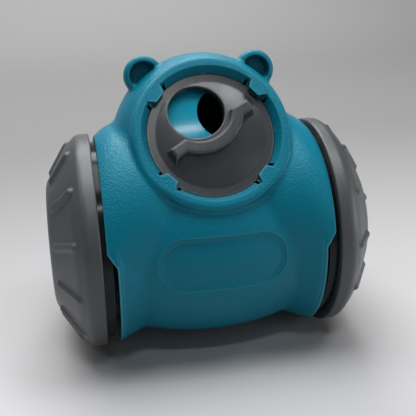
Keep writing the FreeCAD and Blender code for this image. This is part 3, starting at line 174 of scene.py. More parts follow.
class NodeTree:
    """Small helper for building one node tree."""

    def __init__(self, tree: bpy.types.NodeTree) -> None:
        """Keep the tree to build in."""
        self.tree = tree

    def add(self, kind: str, **settings: object) -> bpy.types.Node:
        """Add a node.

        Args:
            kind: The node's type name.
            **settings: Its properties.

        Returns:
            The new node.
        """
        node = self.tree.nodes.new(kind)
        for key, setting in settings.items():
            setattr(node, key, setting)
        return node

    def join(self, source: Socket, target: Socket) -> None:
        """Link one socket to another."""
        self.tree.links.new(source, target)

    def calc(self, kind: str, first: object, second: object = 0.0) -> Socket:
        """Do arithmetic on one or two sockets or numbers.

        Args:
            kind: The operation of the Math node.
            first: A socket or a number.
            second: A socket or a number, which some operations leave unused.

        Returns:
            The result's socket.
        """
        node = self.add("ShaderNodeMath", operation=kind)
        for index, item in enumerate((first, second)):
            if isinstance(item, Socket):
                self.join(item, node.inputs[index])
            else:
                node.inputs[index].default_value = item
        return node.outputs[0]

    def diagonal(self, first: Socket, second: Socket) -> Socket:
        """Give the length of the diagonal over two runs at right angles."""
        squares = [self.calc("MULTIPLY", run, run) for run in (first, second)]
        return self.calc("SQRT", self.calc("ADD", *squares))

    def eased(self, source: Socket, start: float, stop: float) -> bpy.types.Node:
        """Rise smoothly while a value goes from one number to another.

        Args:
            source: The value.
            start: Number where the rise starts.
            stop: Number where it is complete.

        Returns:
            The node, whose result goes from 0 to 1 unless its own ends are set.
        """
        node = self.add("ShaderNodeMapRange", interpolation_type="SMOOTHSTEP")
        node.inputs["From Min"].default_value = start
        node.inputs["From Max"].default_value = stop
        self.join(source, node.inputs["Value"])
        return node


def shader_group(name: str, inputs: dict[str, tuple[str, object]], outputs: dict[str, str]) -> NodeTree:
    """Start a shader node group with named sockets.

    Args:
        name: Name of the group.
        inputs: Socket type and default value by socket name.
        outputs: Socket type by socket name.

    Returns:
        The helper of the new tree.
    """
    tree = bpy.data.node_groups.new(name, "ShaderNodeTree")
    for label, (kind, default) in inputs.items():
        socket = tree.interface.new_socket(label, in_out="INPUT", socket_type=kind)
        socket.default_value = default
    for label, kind in outputs.items():
        tree.interface.new_socket(label, in_out="OUTPUT", socket_type=kind)
    return NodeTree(tree)


def grain_group() -> bpy.types.NodeTree:
    """Build the group that gives the fine pitted grain of a moulded face."""
    pit_scale, pit_share = 0.8, 0.7
    made = shader_group("MouldedGrain", {"Size": ("NodeSocketFloat", 0.0005)},
                        {"Height": "NodeSocketFloat"})
    start = made.add("NodeGroupInput")
    end = made.add("NodeGroupOutput")
    coordinates = made.add("ShaderNodeTexCoord")
    scale = made.calc("DIVIDE", 1.0, start.outputs["Size"])
    fine = made.add("ShaderNodeTexNoise", noise_dimensions="3D")
    fine.inputs["Detail"].default_value = 2.0
    fine.inputs["Roughness"].default_value = 0.6
    pits = made.add("ShaderNodeTexVoronoi", feature="SMOOTH_F1")
    pits.inputs["Smoothness"].default_value = 0.6
    for node in (fine, pits):
        made.join(coordinates.outputs["Object"], node.inputs["Vector"])
    made.join(scale, fine.inputs["Scale"])
    made.join(made.calc("MULTIPLY", scale, pit_scale), pits.inputs["Scale"])
    depth = made.calc("MULTIPLY", pits.outputs["Distance"], pit_share)
    made.join(made.calc("ADD", fine.outputs["Fac"], depth), end.inputs["Height"])
    return made.tree


def drift_group() -> bpy.types.NodeTree:
    """Build the group that drifts tone and polish slowly over a moulded face."""
    made = shader_group("ToneDrift", {"Size": ("NodeSocketFloat", 0.03)},
                        {"Tone": "NodeSocketFloat", "Polish": "NodeSocketFloat"})
    start = made.add("NodeGroupInput")
    end = made.add("NodeGroupOutput")
    coordinates = made.add("ShaderNodeTexCoord")
    scale = made.calc("DIVIDE", 1.0, start.outputs["Size"])
    for output, factor, detail in (("Tone", 1.0, 3.0), ("Polish", 2.3, 5.0)):
        noise = made.add("ShaderNodeTexNoise", noise_dimensions="3D")
        noise.inputs["Detail"].default_value = detail
        made.join(coordinates.outputs["Object"], noise.inputs["Vector"])
        made.join(made.calc("MULTIPLY", scale, factor), noise.inputs["Scale"])
        made.join(noise.outputs["Fac"], end.inputs[output])
    return made.tree


def edge_highlight_group() -> bpy.types.NodeTree:
    """Build the group that finds the thin convex edges of a moulded piece, for a painted highlight."""
    least, most = 0.14, 0.45
    made = shader_group("PaintedEdgeHighlight", {"Width": ("NodeSocketFloat", 0.0011)}, {"Mask": "NodeSocketFloat"})
    start = made.add("NodeGroupInput")
    end = made.add("NodeGroupOutput")
    depth = made.add("ShaderNodeAmbientOcclusion", samples=8, inside=True, only_local=True)
    made.join(start.outputs["Width"], depth.inputs["Distance"])
    mask = made.eased(made.calc("SUBTRACT", 1.0, depth.outputs["AO"]), least, most)
    made.join(mask.outputs["Result"], end.inputs["Mask"])
    return made.tree


def seen_group() -> bpy.types.NodeTree:
    """Build the group that shows one tone and throws another as soft light."""
    tone = ("NodeSocketColor", (0.5, 0.5, 0.5, 1.0))
    made = shader_group("SeenTone", {"Thrown": tone, "Seen": tone}, {"Tone": "NodeSocketColor"})
    start = made.add("NodeGroupInput")
    end = made.add("NodeGroupOutput")
    path = made.add("ShaderNodeLightPath")
    mirrored = made.calc("MAXIMUM", path.outputs["Is Glossy Ray"], path.outputs["Is Transmission Ray"])
    seen = made.calc("MAXIMUM", path.outputs["Is Camera Ray"], mirrored)
    mix = made.add("ShaderNodeMix", data_type="RGBA")
    made.join(seen, mix.inputs["Factor"])
    made.join(start.outputs["Thrown"], mix.inputs["A"])
    made.join(start.outputs["Seen"], mix.inputs["B"])
    made.join(mix.outputs["Result"], end.inputs["Tone"])
    return made.tree


class FinishShop:
    """Makes each finish once and hands it out.

    Attributes:
        plastic_spread: How far the roughness of a plastic drifts either way.
        steel_spread: How far the roughness of a steel drifts either way.
        steel_drift: Size in metres of that drift on steel.
        steel_grain: Size in metres of one turning mark.
        painted_shade_reach: Distance in metres over which painted shade darkens a corner.
        painted_shade_span: Openness where that painted shade is darkest, and where the tone is whole
            again.
    """

    plastic_spread: float = 0.06
    steel_spread: float = 0.08
    steel_drift: float = 0.004
    steel_grain: float = 0.0003
    painted_shade_reach: float = 0.009
    painted_shade_span: Pair = (0.4, 0.9)

    def __init__(self) -> None:
        """Build the shared groups."""
        self.grain = grain_group()
        self.drift = drift_group()
        self.edges = edge_highlight_group()
        self.made: dict[str, bpy.types.Material] = {}

    def start(self, name: str) -> tuple[bpy.types.Material, NodeTree, bpy.types.Node]:
        """Start a material with an empty tree.

        Args:
            name: Name of the material.

        Returns:
            The material, its tree's helper and its principled shader.
        """
        material = bpy.data.materials.new(name)
        material.use_nodes = True
        material.node_tree.nodes.clear()
        made = NodeTree(material.node_tree)
        shader = made.add("ShaderNodeBsdfPrincipled")
        output = made.add("ShaderNodeOutputMaterial")
        made.join(shader.outputs["BSDF"], output.inputs["Surface"])
        return material, made, shader

    def plastic(self, finish: Plastic) -> bpy.types.Material:
        """Make a moulded plastic.

        Args:
            finish: The finish to make.

        Returns:
            Its material.
        """
        if finish.name in self.made:
            return self.made[finish.name]
        material, made, shader = self.start(finish.name)
        drift = made.add("ShaderNodeGroup", node_tree=self.drift)
        mix = made.add("ShaderNodeMix", data_type="RGBA")
        mix.inputs["A"].default_value = rgba(*finish.colour)
        mix.inputs["B"].default_value = rgba(*finish.deep)
        made.join(made.calc("MULTIPLY", drift.outputs["Tone"], finish.drift), mix.inputs["Factor"])
        tone = mix.outputs["Result"]
        # Painted highlight: thin convex edges are lightened towards a pale tint.
        if finish.painted_edge_share > 0:
            highlit_edges = made.add("ShaderNodeGroup", node_tree=self.edges)
            painted_edge_tint = made.add("ShaderNodeMix", data_type="RGBA")
            painted_edge_tint.inputs["B"].default_value = rgba(*finish.painted_edge_tint)
            made.join(tone, painted_edge_tint.inputs["A"])
            made.join(made.calc("MULTIPLY", highlit_edges.outputs["Mask"], finish.painted_edge_share), painted_edge_tint.inputs["Factor"])
            tone = painted_edge_tint.outputs["Result"]
        # Painted shade: corners and wells, found by ambient occlusion, darken the tone towards black.
        if finish.painted_crevice_shade > 0:
            tone = self.paint_crevice_shade(made, tone, finish)
        made.join(tone, shader.inputs["Base Color"])
        polish = self.polish(made, drift, finish.roughness, self.plastic_spread)
        made.join(polish, shader.inputs["Roughness"])
        soft = made.add("ShaderNodeBevel", samples=4)
        soft.inputs["Radius"].default_value = finish.edge
        normal = soft.outputs["Normal"]
        if finish.grain > 0:
            grain = made.add("ShaderNodeGroup", node_tree=self.grain)
            grain.inputs["Size"].default_value = finish.grain_size
            bump = made.add("ShaderNodeBump")
            bump.inputs["Strength"].default_value = 1.0
            bump.inputs["Distance"].default_value = finish.grain
            made.join(grain.outputs["Height"], bump.inputs["Height"])
            made.join(normal, bump.inputs["Normal"])
            normal = bump.outputs["Normal"]
        made.join(normal, shader.inputs["Normal"])
        shader.inputs["Specular IOR Level"].default_value = finish.specular
        shader.inputs["Specular Tint"].default_value = (*finish.gleam, 1.0)
        self.made[finish.name] = material
        return material

    @staticmethod
    def polish(made: NodeTree, drift: bpy.types.Node, roughness: float, spread: float) -> Socket:
        """Let the roughness drift slowly round its middle by a spread either way."""
        polish = made.add("ShaderNodeMapRange")
        polish.inputs["To Min"].default_value = roughness - spread
        polish.inputs["To Max"].default_value = roughness + spread
        made.join(drift.outputs["Polish"], polish.inputs["Value"])
        return polish.outputs["Result"]

    def paint_crevice_shade(self, made: NodeTree, tone: Socket, finish: Plastic) -> Socket:
        """Paint shade into a tone where the surface lies in a corner or a well."""
        near = made.add("ShaderNodeAmbientOcclusion", samples=6, only_local=False)
        near.inputs["Distance"].default_value = self.painted_shade_reach
        unshaded = made.eased(near.outputs["AO"], *self.painted_shade_span)
        unshaded.inputs["To Min"].default_value = 1.0 - finish.painted_crevice_shade
        shade = made.add("ShaderNodeMix", data_type="RGBA")
        shade.inputs["A"].default_value = (0.0, 0.0, 0.0, 1.0)
        made.join(tone, shade.inputs["B"])
        made.join(unshaded.outputs["Result"], shade.inputs["Factor"])
        return shade.outputs["Result"]

    def steel(self, finish: Steel) -> bpy.types.Material:
        """Make a steel.

        Args:
            finish: The finish to make.

        Returns:
            Its material.
        """
        if finish.name in self.made:
            return self.made[finish.name]
        material, made, shader = self.start(finish.name)
        drift = made.add("ShaderNodeGroup", node_tree=self.drift)
        drift.inputs["Size"].default_value = self.steel_drift
        shader.inputs["Base Color"].default_value = rgba(*finish.colour)
        shader.inputs["Metallic"].default_value = 1.0
        polish = self.polish(made, drift, finish.roughness, self.steel_spread)
        made.join(polish, shader.inputs["Roughness"])
        grain = made.add("ShaderNodeGroup", node_tree=self.grain)
        grain.inputs["Size"].default_value = self.steel_grain
        bump = made.add("ShaderNodeBump")
        bump.inputs["Distance"].default_value = finish.turning
        made.join(grain.outputs["Height"], bump.inputs["Height"])
        made.join(bump.outputs["Normal"], shader.inputs["Normal"])
        self.made[finish.name] = material
        return material

    @staticmethod
    def dress(item: bpy.types.Object, material: bpy.types.Material) -> None:
        """Give a whole object one finish."""
        item.data.materials.clear()
        item.data.materials.append(material)


def lathe(loop: list[Point], steps: int) -> bmesh.types.BMesh:
    """Turn a closed loop of points once round the X axis.

    Args:
        loop: The loop as pairs of station and radius, in the unit of the mesh.
        steps: How many steps the turn has.

    Returns:
        A closed mesh whose faces point outwards.
    """
    made = bmesh.new()
    rings = []
    for step in range(steps):
        turn = 2 * math.pi * step / steps
        rings.append([made.verts.new((station, -radius * math.sin(turn), radius * math.cos(turn)))
                      for station, radius in loop])
    for step in range(steps):
        ring, following = rings[step], rings[(step + 1) % steps]
        for index in range(len(loop)):
            onward = (index + 1) % len(loop)
            made.faces.new((ring[index], ring[onward], following[onward], following[index]))
    bmesh.ops.recalc_face_normals(made, faces=made.faces)
    return made


def rounded(corners: list[tuple[float, float, float]], pitch: float) -> list[Point]:
    """Round the corners of a closed outline and divide its long runs.

    Args:
        corners: Station, radius and rounding of each corner, in metres.
        pitch: Longest run left between two points.

    Returns:
        The points of the rounded outline.
    """
    points: list[Vector] = []
    for index, (station, radius, rounding) in enumerate(corners):
        here = Vector((station, radius))
        before = Vector(corners[index - 1][:2]) - here
        after = Vector(corners[(index + 1) % len(corners)][:2]) - here
        if rounding <= 0.0:
            points.append(here)
            continue
        half = before.angle(after) / 2
        reach = rounding / math.tan(half)
        inwards = (before.normalized() + after.normalized()).normalized()
        middle = here + inwards * (rounding / math.sin(half))
        first = here + before.normalized() * reach - middle
        last = here + after.normalized() * reach - middle
        swing = first.angle_signed(last)
        count = max(3, int(abs(swing) * rounding / pitch) + 1)
        for step in range(count + 1):
            turn = -swing * step / count
            points.append(middle + Vector((first.x * math.cos(turn) - first.y * math.sin(turn),
                                           first.x * math.sin(turn) + first.y * math.cos(turn))))
    divided: list[Point] = []
    for index, start in enumerate(points):
        stop = points[(index + 1) % len(points)]
        count = max(1, math.ceil((stop - start).length / pitch))
        for step in range(count):
            divided.append(tuple(start.lerp(stop, step / count)))
    return divided


def new_piece(name: str, made: bmesh.types.BMesh) -> bpy.types.Object:
    """Put a finished mesh into the scene as a piece.

    Args:
        name: Name of the piece.
        made: Its mesh, which is used up.

    Returns:
        The piece, at the origin.
    """
    mesh = bpy.data.meshes.new(name)
    made.to_mesh(mesh)
    made.free()
    piece = bpy.data.objects.new(name, mesh)
    bpy.context.scene.collection.objects.link(piece)
    return piece


class GeometryTree(NodeTree):
    """Helper for one Geometry Nodes tree with named inputs."""

    def __init__(self, name: str, inputs: dict[str, str]) -> None:
        """Start the tree with a geometry socket and the named inputs."""
        super().__init__(bpy.data.node_groups.new(name, "GeometryNodeTree"))
        self.tree.interface.new_socket("Geometry", in_out="INPUT", socket_type="NodeSocketGeometry")
        self.sockets = {}
        for label, kind in inputs.items():
            self.sockets[label] = self.tree.interface.new_socket(label, in_out="INPUT", socket_type=kind)
        self.tree.interface.new_socket("Geometry", in_out="OUTPUT", socket_type="NodeSocketGeometry")
        self.start = self.add("NodeGroupInput")

    def named(self, label: str) -> Socket:
        """Give the socket of a named input."""
        return self.start.outputs[label]

    def close(self, geometry: Socket) -> None:
        """End the tree with real geometry in its material."""
        real = self.add("GeometryNodeRealizeInstances")
        self.join(geometry, real.inputs["Geometry"])
        finish = self.add("GeometryNodeSetMaterial")
        self.join(real.outputs["Geometry"], finish.inputs["Geometry"])
        self.join(self.named("Material"), finish.inputs["Material"])
        end = self.add("NodeGroupOutput")
        self.join(finish.outputs["Geometry"], end.inputs["Geometry"])

    def apply(self, piece: bpy.types.Object, settings: dict[str, object], crease: float) -> None:
        """Run the tree on a piece and keep the result as its plain mesh.

        Args:
            piece: The piece to run it on.
            settings: A setting for each named input.
            crease: Angle in degrees past which an edge stays sharp.
        """
        modifier = piece.modifiers.new(self.tree.name, "NODES")
        modifier.node_group = self.tree
        for label, setting in settings.items():
            modifier[self.sockets[label].identifier] = setting
        bpy.context.view_layer.update()
        shown = piece.evaluated_get(bpy.context.evaluated_depsgraph_get())
        mesh = bpy.data.meshes.new_from_object(shown)
        piece.modifiers.clear()
        piece.data = mesh
        mesh.polygons.foreach_set("use_smooth", [True] * len(mesh.polygons))
        mesh.set_sharp_from_angle(angle=math.radians(crease))


@dataclass
class WheelDomes:
    """The two thick moulded wheels, with soft grip ribs on their sloping faces.

    Sizes are in millimetres, and stations run along the axle from the middle of the toy.

    Attributes:
        shop: Where the finish comes from.
        radius: Rolling radius at the tread.
        lip: Station of the inner lip.
        tread: Width of the tread band.
        shoulder_run: Axial depth of the soft shoulder between tread and face.
        shoulder_drop: Fall of that shoulder.
        face_run: Axial depth of the sloping face.
        face_drop: Fall of the sloping face.
        wall: Wall behind the face.
        rim: Radius of the seat round the drum.
        rim_wall: Wall of that seat.
        rim_station: Station where that seat ends.
        rim_taper: Axial run of the slope between that end and the inner face.
        opening: Radius of the hub opening.
        recess: Radius of the recess behind the hub cap.
        cap_wall: Depth of the hub cap's seat.
        lip_round: Rounding of the lip.
        tread_round: Rounding between tread and shoulder.
        shoulder_round: Rounding between shoulder and face.
        face_round: Rounding between the sloping face and the flat centre.
        opening_round: Rounding of the hub opening.
        pitch: Longest run between two points of the outline.
        ribs: How many ribs stand on a face.
        rib_length: Length of a rib between its end centres.
        rib_reach: Half the width of a rib at its foot.
        rib_crest: Half the width of a rib's crest.
        rib_height: How far a rib stands out.
        rib_middle: Radius at the middle of a rib.
        rib_facing: Least share of a surface's normal along the axle where ribs stand.
        phases: Turn of the left and right wheels' first ribs at rest, in degrees.
        steps: Steps of the turned form.
        crease: Angle in degrees past which an edge stays sharp.
    """

    shop: FinishShop
    radius: float = 46.0
    lip: float = 47.6
    tread: float = 5.6
    shoulder_run: float = 4.3
    shoulder_drop: float = 4.4
    face_run: float = 9.9
    face_drop: float = 15.9
    wall: float = 2.4
    rim: float = 42.6
    rim_wall: float = 2.4
    rim_station: float = 53.0
    rim_taper: float = 1.6
    opening: float = 10.5
    recess: float = 7.6
    cap_wall: float = 1.2
    lip_round: float = 0.7
    tread_round: float = 4.5
    shoulder_round: float = 12.0
    face_round: float = 8.0
    opening_round: float = 0.35
    pitch: float = 0.52
    ribs: int = 12
    rib_length: float = 12.8
    rib_reach: float = 2.4
    rib_crest: float = 0.5
    rib_height: float = 1.3
    rib_middle: float = 36.0
    rib_facing: float = 0.1
    phases: Pair = (7.8, 21.9)
    steps: int = 480
    crease: float = 40.0

    def outline(self) -> list[Point]:
        """Draw the dome's closed outline as stations and radii in metres."""
        corner = self.lip + self.tread
        knee = corner + self.shoulder_run
        bend = self.radius - self.shoulder_drop
        face = knee + self.face_run
        inside = face - self.wall
        slope = self.face_drop / self.face_run
        shift = self.wall * math.hypot(self.face_run, self.face_drop) / self.face_run
        seat = self.rim - self.rim_wall
        taper = self.rim_station + self.rim_taper
        corners = [
            (self.lip, self.rim, 0.0),
            (self.lip, self.radius, self.lip_round),
            (corner, self.radius, self.tread_round),
            (knee, bend, self.shoulder_round),
            (face, bend - self.face_drop, self.face_round),
            (face, self.opening, self.opening_round),
            (face - self.cap_wall, self.opening, 0.0),
            (face - self.cap_wall, self.recess, 0.0),
            (inside, self.recess, 0.0),
            (inside, bend - shift - (inside - knee) * slope, 0.0),
            (taper, bend - shift - (taper - knee) * slope, 0.0),
            (self.rim_station, seat, 0.0),
            (self.rim_station, self.rim, 0.0),
        ]
        return rounded([tuple(size * MM for size in item) for item in corners], self.pitch * MM)

    def relief(self) -> GeometryTree:
        """Build the tree that raises the ribs evenly round a face."""
        made = GeometryTree("RibRelief", {
            "Rib Count": "NodeSocketInt", "Rib Length": "NodeSocketFloat",
            "Rib Reach": "NodeSocketFloat", "Rib Crest": "NodeSocketFloat",
            "Rib Height": "NodeSocketFloat", "Rib Middle": "NodeSocketFloat",
            "Face Stretch": "NodeSocketFloat", "Least Facing": "NodeSocketFloat",
            "Phase": "NodeSocketFloat", "Side": "NodeSocketFloat",
            "Axle Height": "NodeSocketFloat", "Material": "NodeSocketMaterial"})
        spot = made.add("ShaderNodeSeparateXYZ")
        made.join(made.add("GeometryNodeInputPosition").outputs["Position"], spot.inputs["Vector"])
        rise = made.calc("SUBTRACT", spot.outputs["Z"], made.named("Axle Height"))
        turn = made.calc("ARCTAN2", made.calc("MULTIPLY", spot.outputs["Y"], -1.0), rise)
        radius = made.diagonal(spot.outputs["Y"], rise)
        half = made.calc("DIVIDE", math.pi, made.named("Rib Count"))
        wrap = made.add("ShaderNodeMath", operation="WRAP")
        made.join(made.calc("SUBTRACT", turn, made.named("Phase")), wrap.inputs[0])
        made.join(half, wrap.inputs[1])
        made.join(made.calc("MULTIPLY", half, -1.0), wrap.inputs[2])
        across = made.calc("MULTIPLY", radius, wrap.outputs[0])
        off_middle = made.calc("SUBTRACT", radius, made.named("Rib Middle"))
        along = made.calc("ABSOLUTE", made.calc("MULTIPLY", off_middle, made.named("Face Stretch")))
        half_length = made.calc("DIVIDE", made.named("Rib Length"), 2.0)
        past = made.calc("MAXIMUM", made.calc("SUBTRACT", along, half_length), 0.0)
        height = made.add("ShaderNodeMapRange", interpolation_type="SMOOTHSTEP")
        made.join(made.diagonal(past, across), height.inputs["Value"])
        made.join(made.named("Rib Reach"), height.inputs["From Min"])
        made.join(made.named("Rib Crest"), height.inputs["From Max"])
        made.join(made.named("Rib Height"), height.inputs["To Max"])
        facing = made.add("ShaderNodeSeparateXYZ")
        normal = made.add("GeometryNodeInputNormal").outputs["Normal"]
        made.join(normal, facing.inputs["Vector"])
        outwards = made.calc("MULTIPLY", facing.outputs["X"], made.named("Side"))
        outside = made.calc("GREATER_THAN", outwards, made.named("Least Facing"))
        lift = made.add("ShaderNodeVectorMath", operation="SCALE")
        made.join(normal, lift.inputs[0])
        made.join(made.calc("MULTIPLY", height.outputs["Result"], outside), lift.inputs["Scale"])
        move = made.add("GeometryNodeSetPosition")
        made.join(made.named("Geometry"), move.inputs["Geometry"])
        made.join(lift.outputs["Vector"], move.inputs["Offset"])
        made.close(move.outputs["Geometry"])
        return made

    def build(self) -> None:
        """Build both wheels in place of their plain nodes."""
        relief = self.relief()
        outline = self.outline()
        for side, tag, phase in ((-1, "left", self.phases[0]), (1, "right", self.phases[1])):
            made = lathe([(side * station, radius) for station, radius in outline], self.steps)
            bmesh.ops.translate(made, verts=made.verts, vec=(0.0, 0.0, AXLE_HEIGHT))
            piece = new_piece(tag + "_ribbed_wheel", made)
            relief.apply(piece, {
                "Rib Count": self.ribs, "Rib Length": self.rib_length * MM,
                "Rib Reach": self.rib_reach * MM, "Rib Crest": self.rib_crest * MM,
                "Rib Height": self.rib_height * MM, "Rib Middle": self.rib_middle * MM,
                "Face Stretch": math.hypot(self.face_run, self.face_drop) / self.face_drop,
                "Least Facing": self.rib_facing, "Phase": math.radians(phase), "Side": float(side),
                "Axle Height": AXLE_HEIGHT, "Material": self.shop.plastic(WARM_GREY)}, self.crease)
            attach(piece, tag + "_wheel")
            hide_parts(tag + "_wheel_dome")
            LOG.info("%s: %d points", piece.name, len(piece.data.vertices))


@dataclass
class SelfTappers:
    """One set of pan head self-tapping screws with cross recesses and real threads.

    Sizes are in millimetres, and shares are of the shank's or the head's own size.

    Attributes:
        name: Name of the finished piece.
        node: Node that the set stands for.
        seats: Where each head sits.
        axis: Direction that the shanks point in.
        head_radius: Radius of the heads.
        head_height: Height of the heads.
        shank_radius: Radius at the thread's crest.
        shank_length: Length below the head.
        pitch: Rise of one turn of thread.
        root: Share of the shank's radius left between the threads.
        sides: Steps round a screw.
        shank_rows: Rows of faces along a shank.
        head_rows: Rows of faces up a head.
        flanks: Where a thread's flank leaves the root and meets the crest, as shares of half a pitch.
        taper_start: Share of the length where the shank starts to taper.
        tip: Share of the radius left at the shank's end.
        pan_rise: How far up its dome's full height a head reaches.
        pan_power: How square the dome's shoulder is.
        cross_length: Length of each bar of the cross recess, as a share of the head's radius.
        cross_width: Width of those bars, as a share of the head's radius.
        cross_depth: Height of those bars, half of it sunk in the head, as a share of the head's height.
        crease: Angle in degrees past which an edge stays sharp.
    """

    name: str
    node: str
    seats: list[Spot]
    axis: Spot
    head_radius: float
    head_height: float
    shank_radius: float
    shank_length: float
    pitch: float = 1.15
    root: float = 0.74
    sides: ClassVar[int] = 28
    shank_rows: ClassVar[int] = 84
    head_rows: ClassVar[int] = 8
    flanks: ClassVar[Pair] = (0.45, 0.95)
    taper_start: ClassVar[float] = 0.8
    tip: ClassVar[float] = 0.3
    pan_rise: ClassVar[float] = 0.88
    pan_power: ClassVar[float] = 4.0
    cross_length: ClassVar[float] = 1.05
    cross_width: ClassVar[float] = 0.26
    cross_depth: ClassVar[float] = 1.1
    crease: ClassVar[float] = 35.0

    @staticmethod
    def tree() -> GeometryTree:
        """Build the tree that sets a threaded screw on every point."""
        made = GeometryTree("ScrewSet", {
            "Head Radius": "NodeSocketFloat", "Head Height": "NodeSocketFloat",
            "Shank Radius": "NodeSocketFloat", "Shank Length": "NodeSocketFloat",
            "Thread Pitch": "NodeSocketFloat", "Thread Root": "NodeSocketFloat",
            "Axis": "NodeSocketVector", "Material": "NodeSocketMaterial"})
        shank = SelfTappers.shank(made)
        head = SelfTappers.head(made)
        screw = made.add("GeometryNodeJoinGeometry")
        made.join(shank, screw.inputs["Geometry"])
        made.join(head, screw.inputs["Geometry"])
        turn = made.add("FunctionNodeAlignRotationToVector", axis="Z")
        made.join(made.named("Axis"), turn.inputs["Vector"])
        points = made.add("GeometryNodeMeshToPoints")
        made.join(made.named("Geometry"), points.inputs["Mesh"])
        placed = made.add("GeometryNodeInstanceOnPoints")
        made.join(points.outputs["Points"], placed.inputs["Points"])
        made.join(screw.outputs["Geometry"], placed.inputs["Instance"])
        made.join(turn.outputs["Rotation"], placed.inputs["Rotation"])
        made.close(placed.outputs["Instances"])
        return made

    @staticmethod
    def cylinder(made: GeometryTree, radius: Socket, depth: Socket, rows: int, middle: float) -> Socket:
        """Add an upright cylinder whose middle lies a share of its depth along Z."""
        body = made.add("GeometryNodeMeshCylinder")
        body.inputs["Vertices"].default_value = SelfTappers.sides
        body.inputs["Side Segments"].default_value = rows
        made.join(radius, body.inputs["Radius"])
        made.join(depth, body.inputs["Depth"])
        shift = made.add("ShaderNodeCombineXYZ")
        made.join(made.calc("MULTIPLY", depth, middle), shift.inputs["Z"])
        moved = made.add("GeometryNodeTransform")
        made.join(body.outputs["Mesh"], moved.inputs["Geometry"])
        made.join(shift.outputs["Vector"], moved.inputs["Translation"])
        return moved.outputs["Geometry"]

    @staticmethod
    def squeeze(made: GeometryTree, body: Socket, place: Socket, share: Socket) -> Socket:
        """Draw every point of a body towards the Z axis by a share."""
        scale = made.add("ShaderNodeCombineXYZ")
        scale.inputs["Z"].default_value = 1.0
        made.join(share, scale.inputs["X"])
        made.join(share, scale.inputs["Y"])
        drawn = made.add("ShaderNodeVectorMath", operation="MULTIPLY")
        made.join(place, drawn.inputs[0])
        made.join(scale.outputs["Vector"], drawn.inputs[1])
        move = made.add("GeometryNodeSetPosition")
        made.join(body, move.inputs["Geometry"])
        made.join(drawn.outputs["Vector"], move.inputs["Position"])
        return move.outputs["Geometry"]

    @staticmethod
    def shank(made: GeometryTree) -> Socket:
        """Build the threaded shank, which points along +Z and ends in a taper."""
        length = made.named("Shank Length")
        body = SelfTappers.cylinder(made, made.named("Shank Radius"), length, SelfTappers.shank_rows, 0.5)
        place = made.add("GeometryNodeInputPosition").outputs["Position"]
        spot = made.add("ShaderNodeSeparateXYZ")
        made.join(place, spot.inputs["Vector"])
        turn = made.calc("DIVIDE", made.calc("ARCTAN2", spot.outputs["Y"], spot.outputs["X"]), 2 * math.pi)
        climb = made.calc("DIVIDE", spot.outputs["Z"], made.named("Thread Pitch"))
        phase = made.calc("FRACT", made.calc("SUBTRACT", climb, turn))
        ridge = made.calc("ABSOLUTE", made.calc("SUBTRACT", made.calc("MULTIPLY", phase, 2.0), 1.0))
        thread = made.add("ShaderNodeMapRange")
        thread.inputs["From Min"].default_value = SelfTappers.flanks[0]
        thread.inputs["From Max"].default_value = SelfTappers.flanks[1]
        made.join(ridge, thread.inputs["Value"])
        made.join(made.named("Thread Root"), thread.inputs["To Min"])
        taper = made.add("ShaderNodeMapRange")
        made.join(spot.outputs["Z"], taper.inputs["Value"])
        made.join(made.calc("MULTIPLY", length, SelfTappers.taper_start), taper.inputs["From Min"])
        made.join(length, taper.inputs["From Max"])
        taper.inputs["To Min"].default_value = 1.0
        taper.inputs["To Max"].default_value = SelfTappers.tip
        share = made.calc("MULTIPLY", thread.outputs["Result"], taper.outputs["Result"])
        return SelfTappers.squeeze(made, body, place, share)

    @staticmethod
    def head(made: GeometryTree) -> Socket:
        """Build the pan head, which lies behind the seat and has a cross recess."""
        height = made.named("Head Height")
        radius = made.named("Head Radius")
        body = SelfTappers.cylinder(made, radius, height, SelfTappers.head_rows, -0.5)
        place = made.add("GeometryNodeInputPosition").outputs["Position"]
        spot = made.add("ShaderNodeSeparateXYZ")
        made.join(place, spot.inputs["Vector"])
        rise = made.calc("MULTIPLY", made.calc("DIVIDE", spot.outputs["Z"], height), SelfTappers.pan_rise)
        fall = made.calc("POWER", made.calc("ABSOLUTE", rise), SelfTappers.pan_power)
        share = made.calc("SQRT", made.calc("SUBTRACT", 1.0, fall))
        pan = SelfTappers.squeeze(made, body, place, share)
        cut = made.add("GeometryNodeMeshBoolean", operation="DIFFERENCE", solver="EXACT")
        made.join(pan, cut.inputs["Mesh 1"])
        for along, across in (("X", "Y"), ("Y", "X")):
            size = made.add("ShaderNodeCombineXYZ")
            made.join(made.calc("MULTIPLY", radius, SelfTappers.cross_length), size.inputs[along])
            made.join(made.calc("MULTIPLY", radius, SelfTappers.cross_width), size.inputs[across])
            made.join(made.calc("MULTIPLY", height, SelfTappers.cross_depth), size.inputs["Z"])
            bar = made.add("GeometryNodeMeshCube")
            made.join(size.outputs["Vector"], bar.inputs["Size"])
            sunk = made.add("ShaderNodeCombineXYZ")
            made.join(made.calc("MULTIPLY", height, -1.0), sunk.inputs["Z"])
            moved = made.add("GeometryNodeTransform")
            made.join(bar.outputs["Mesh"], moved.inputs["Geometry"])
            made.join(sunk.outputs["Vector"], moved.inputs["Translation"])
            made.join(moved.outputs["Geometry"], cut.inputs["Mesh 2"])
        return cut.outputs["Mesh"]

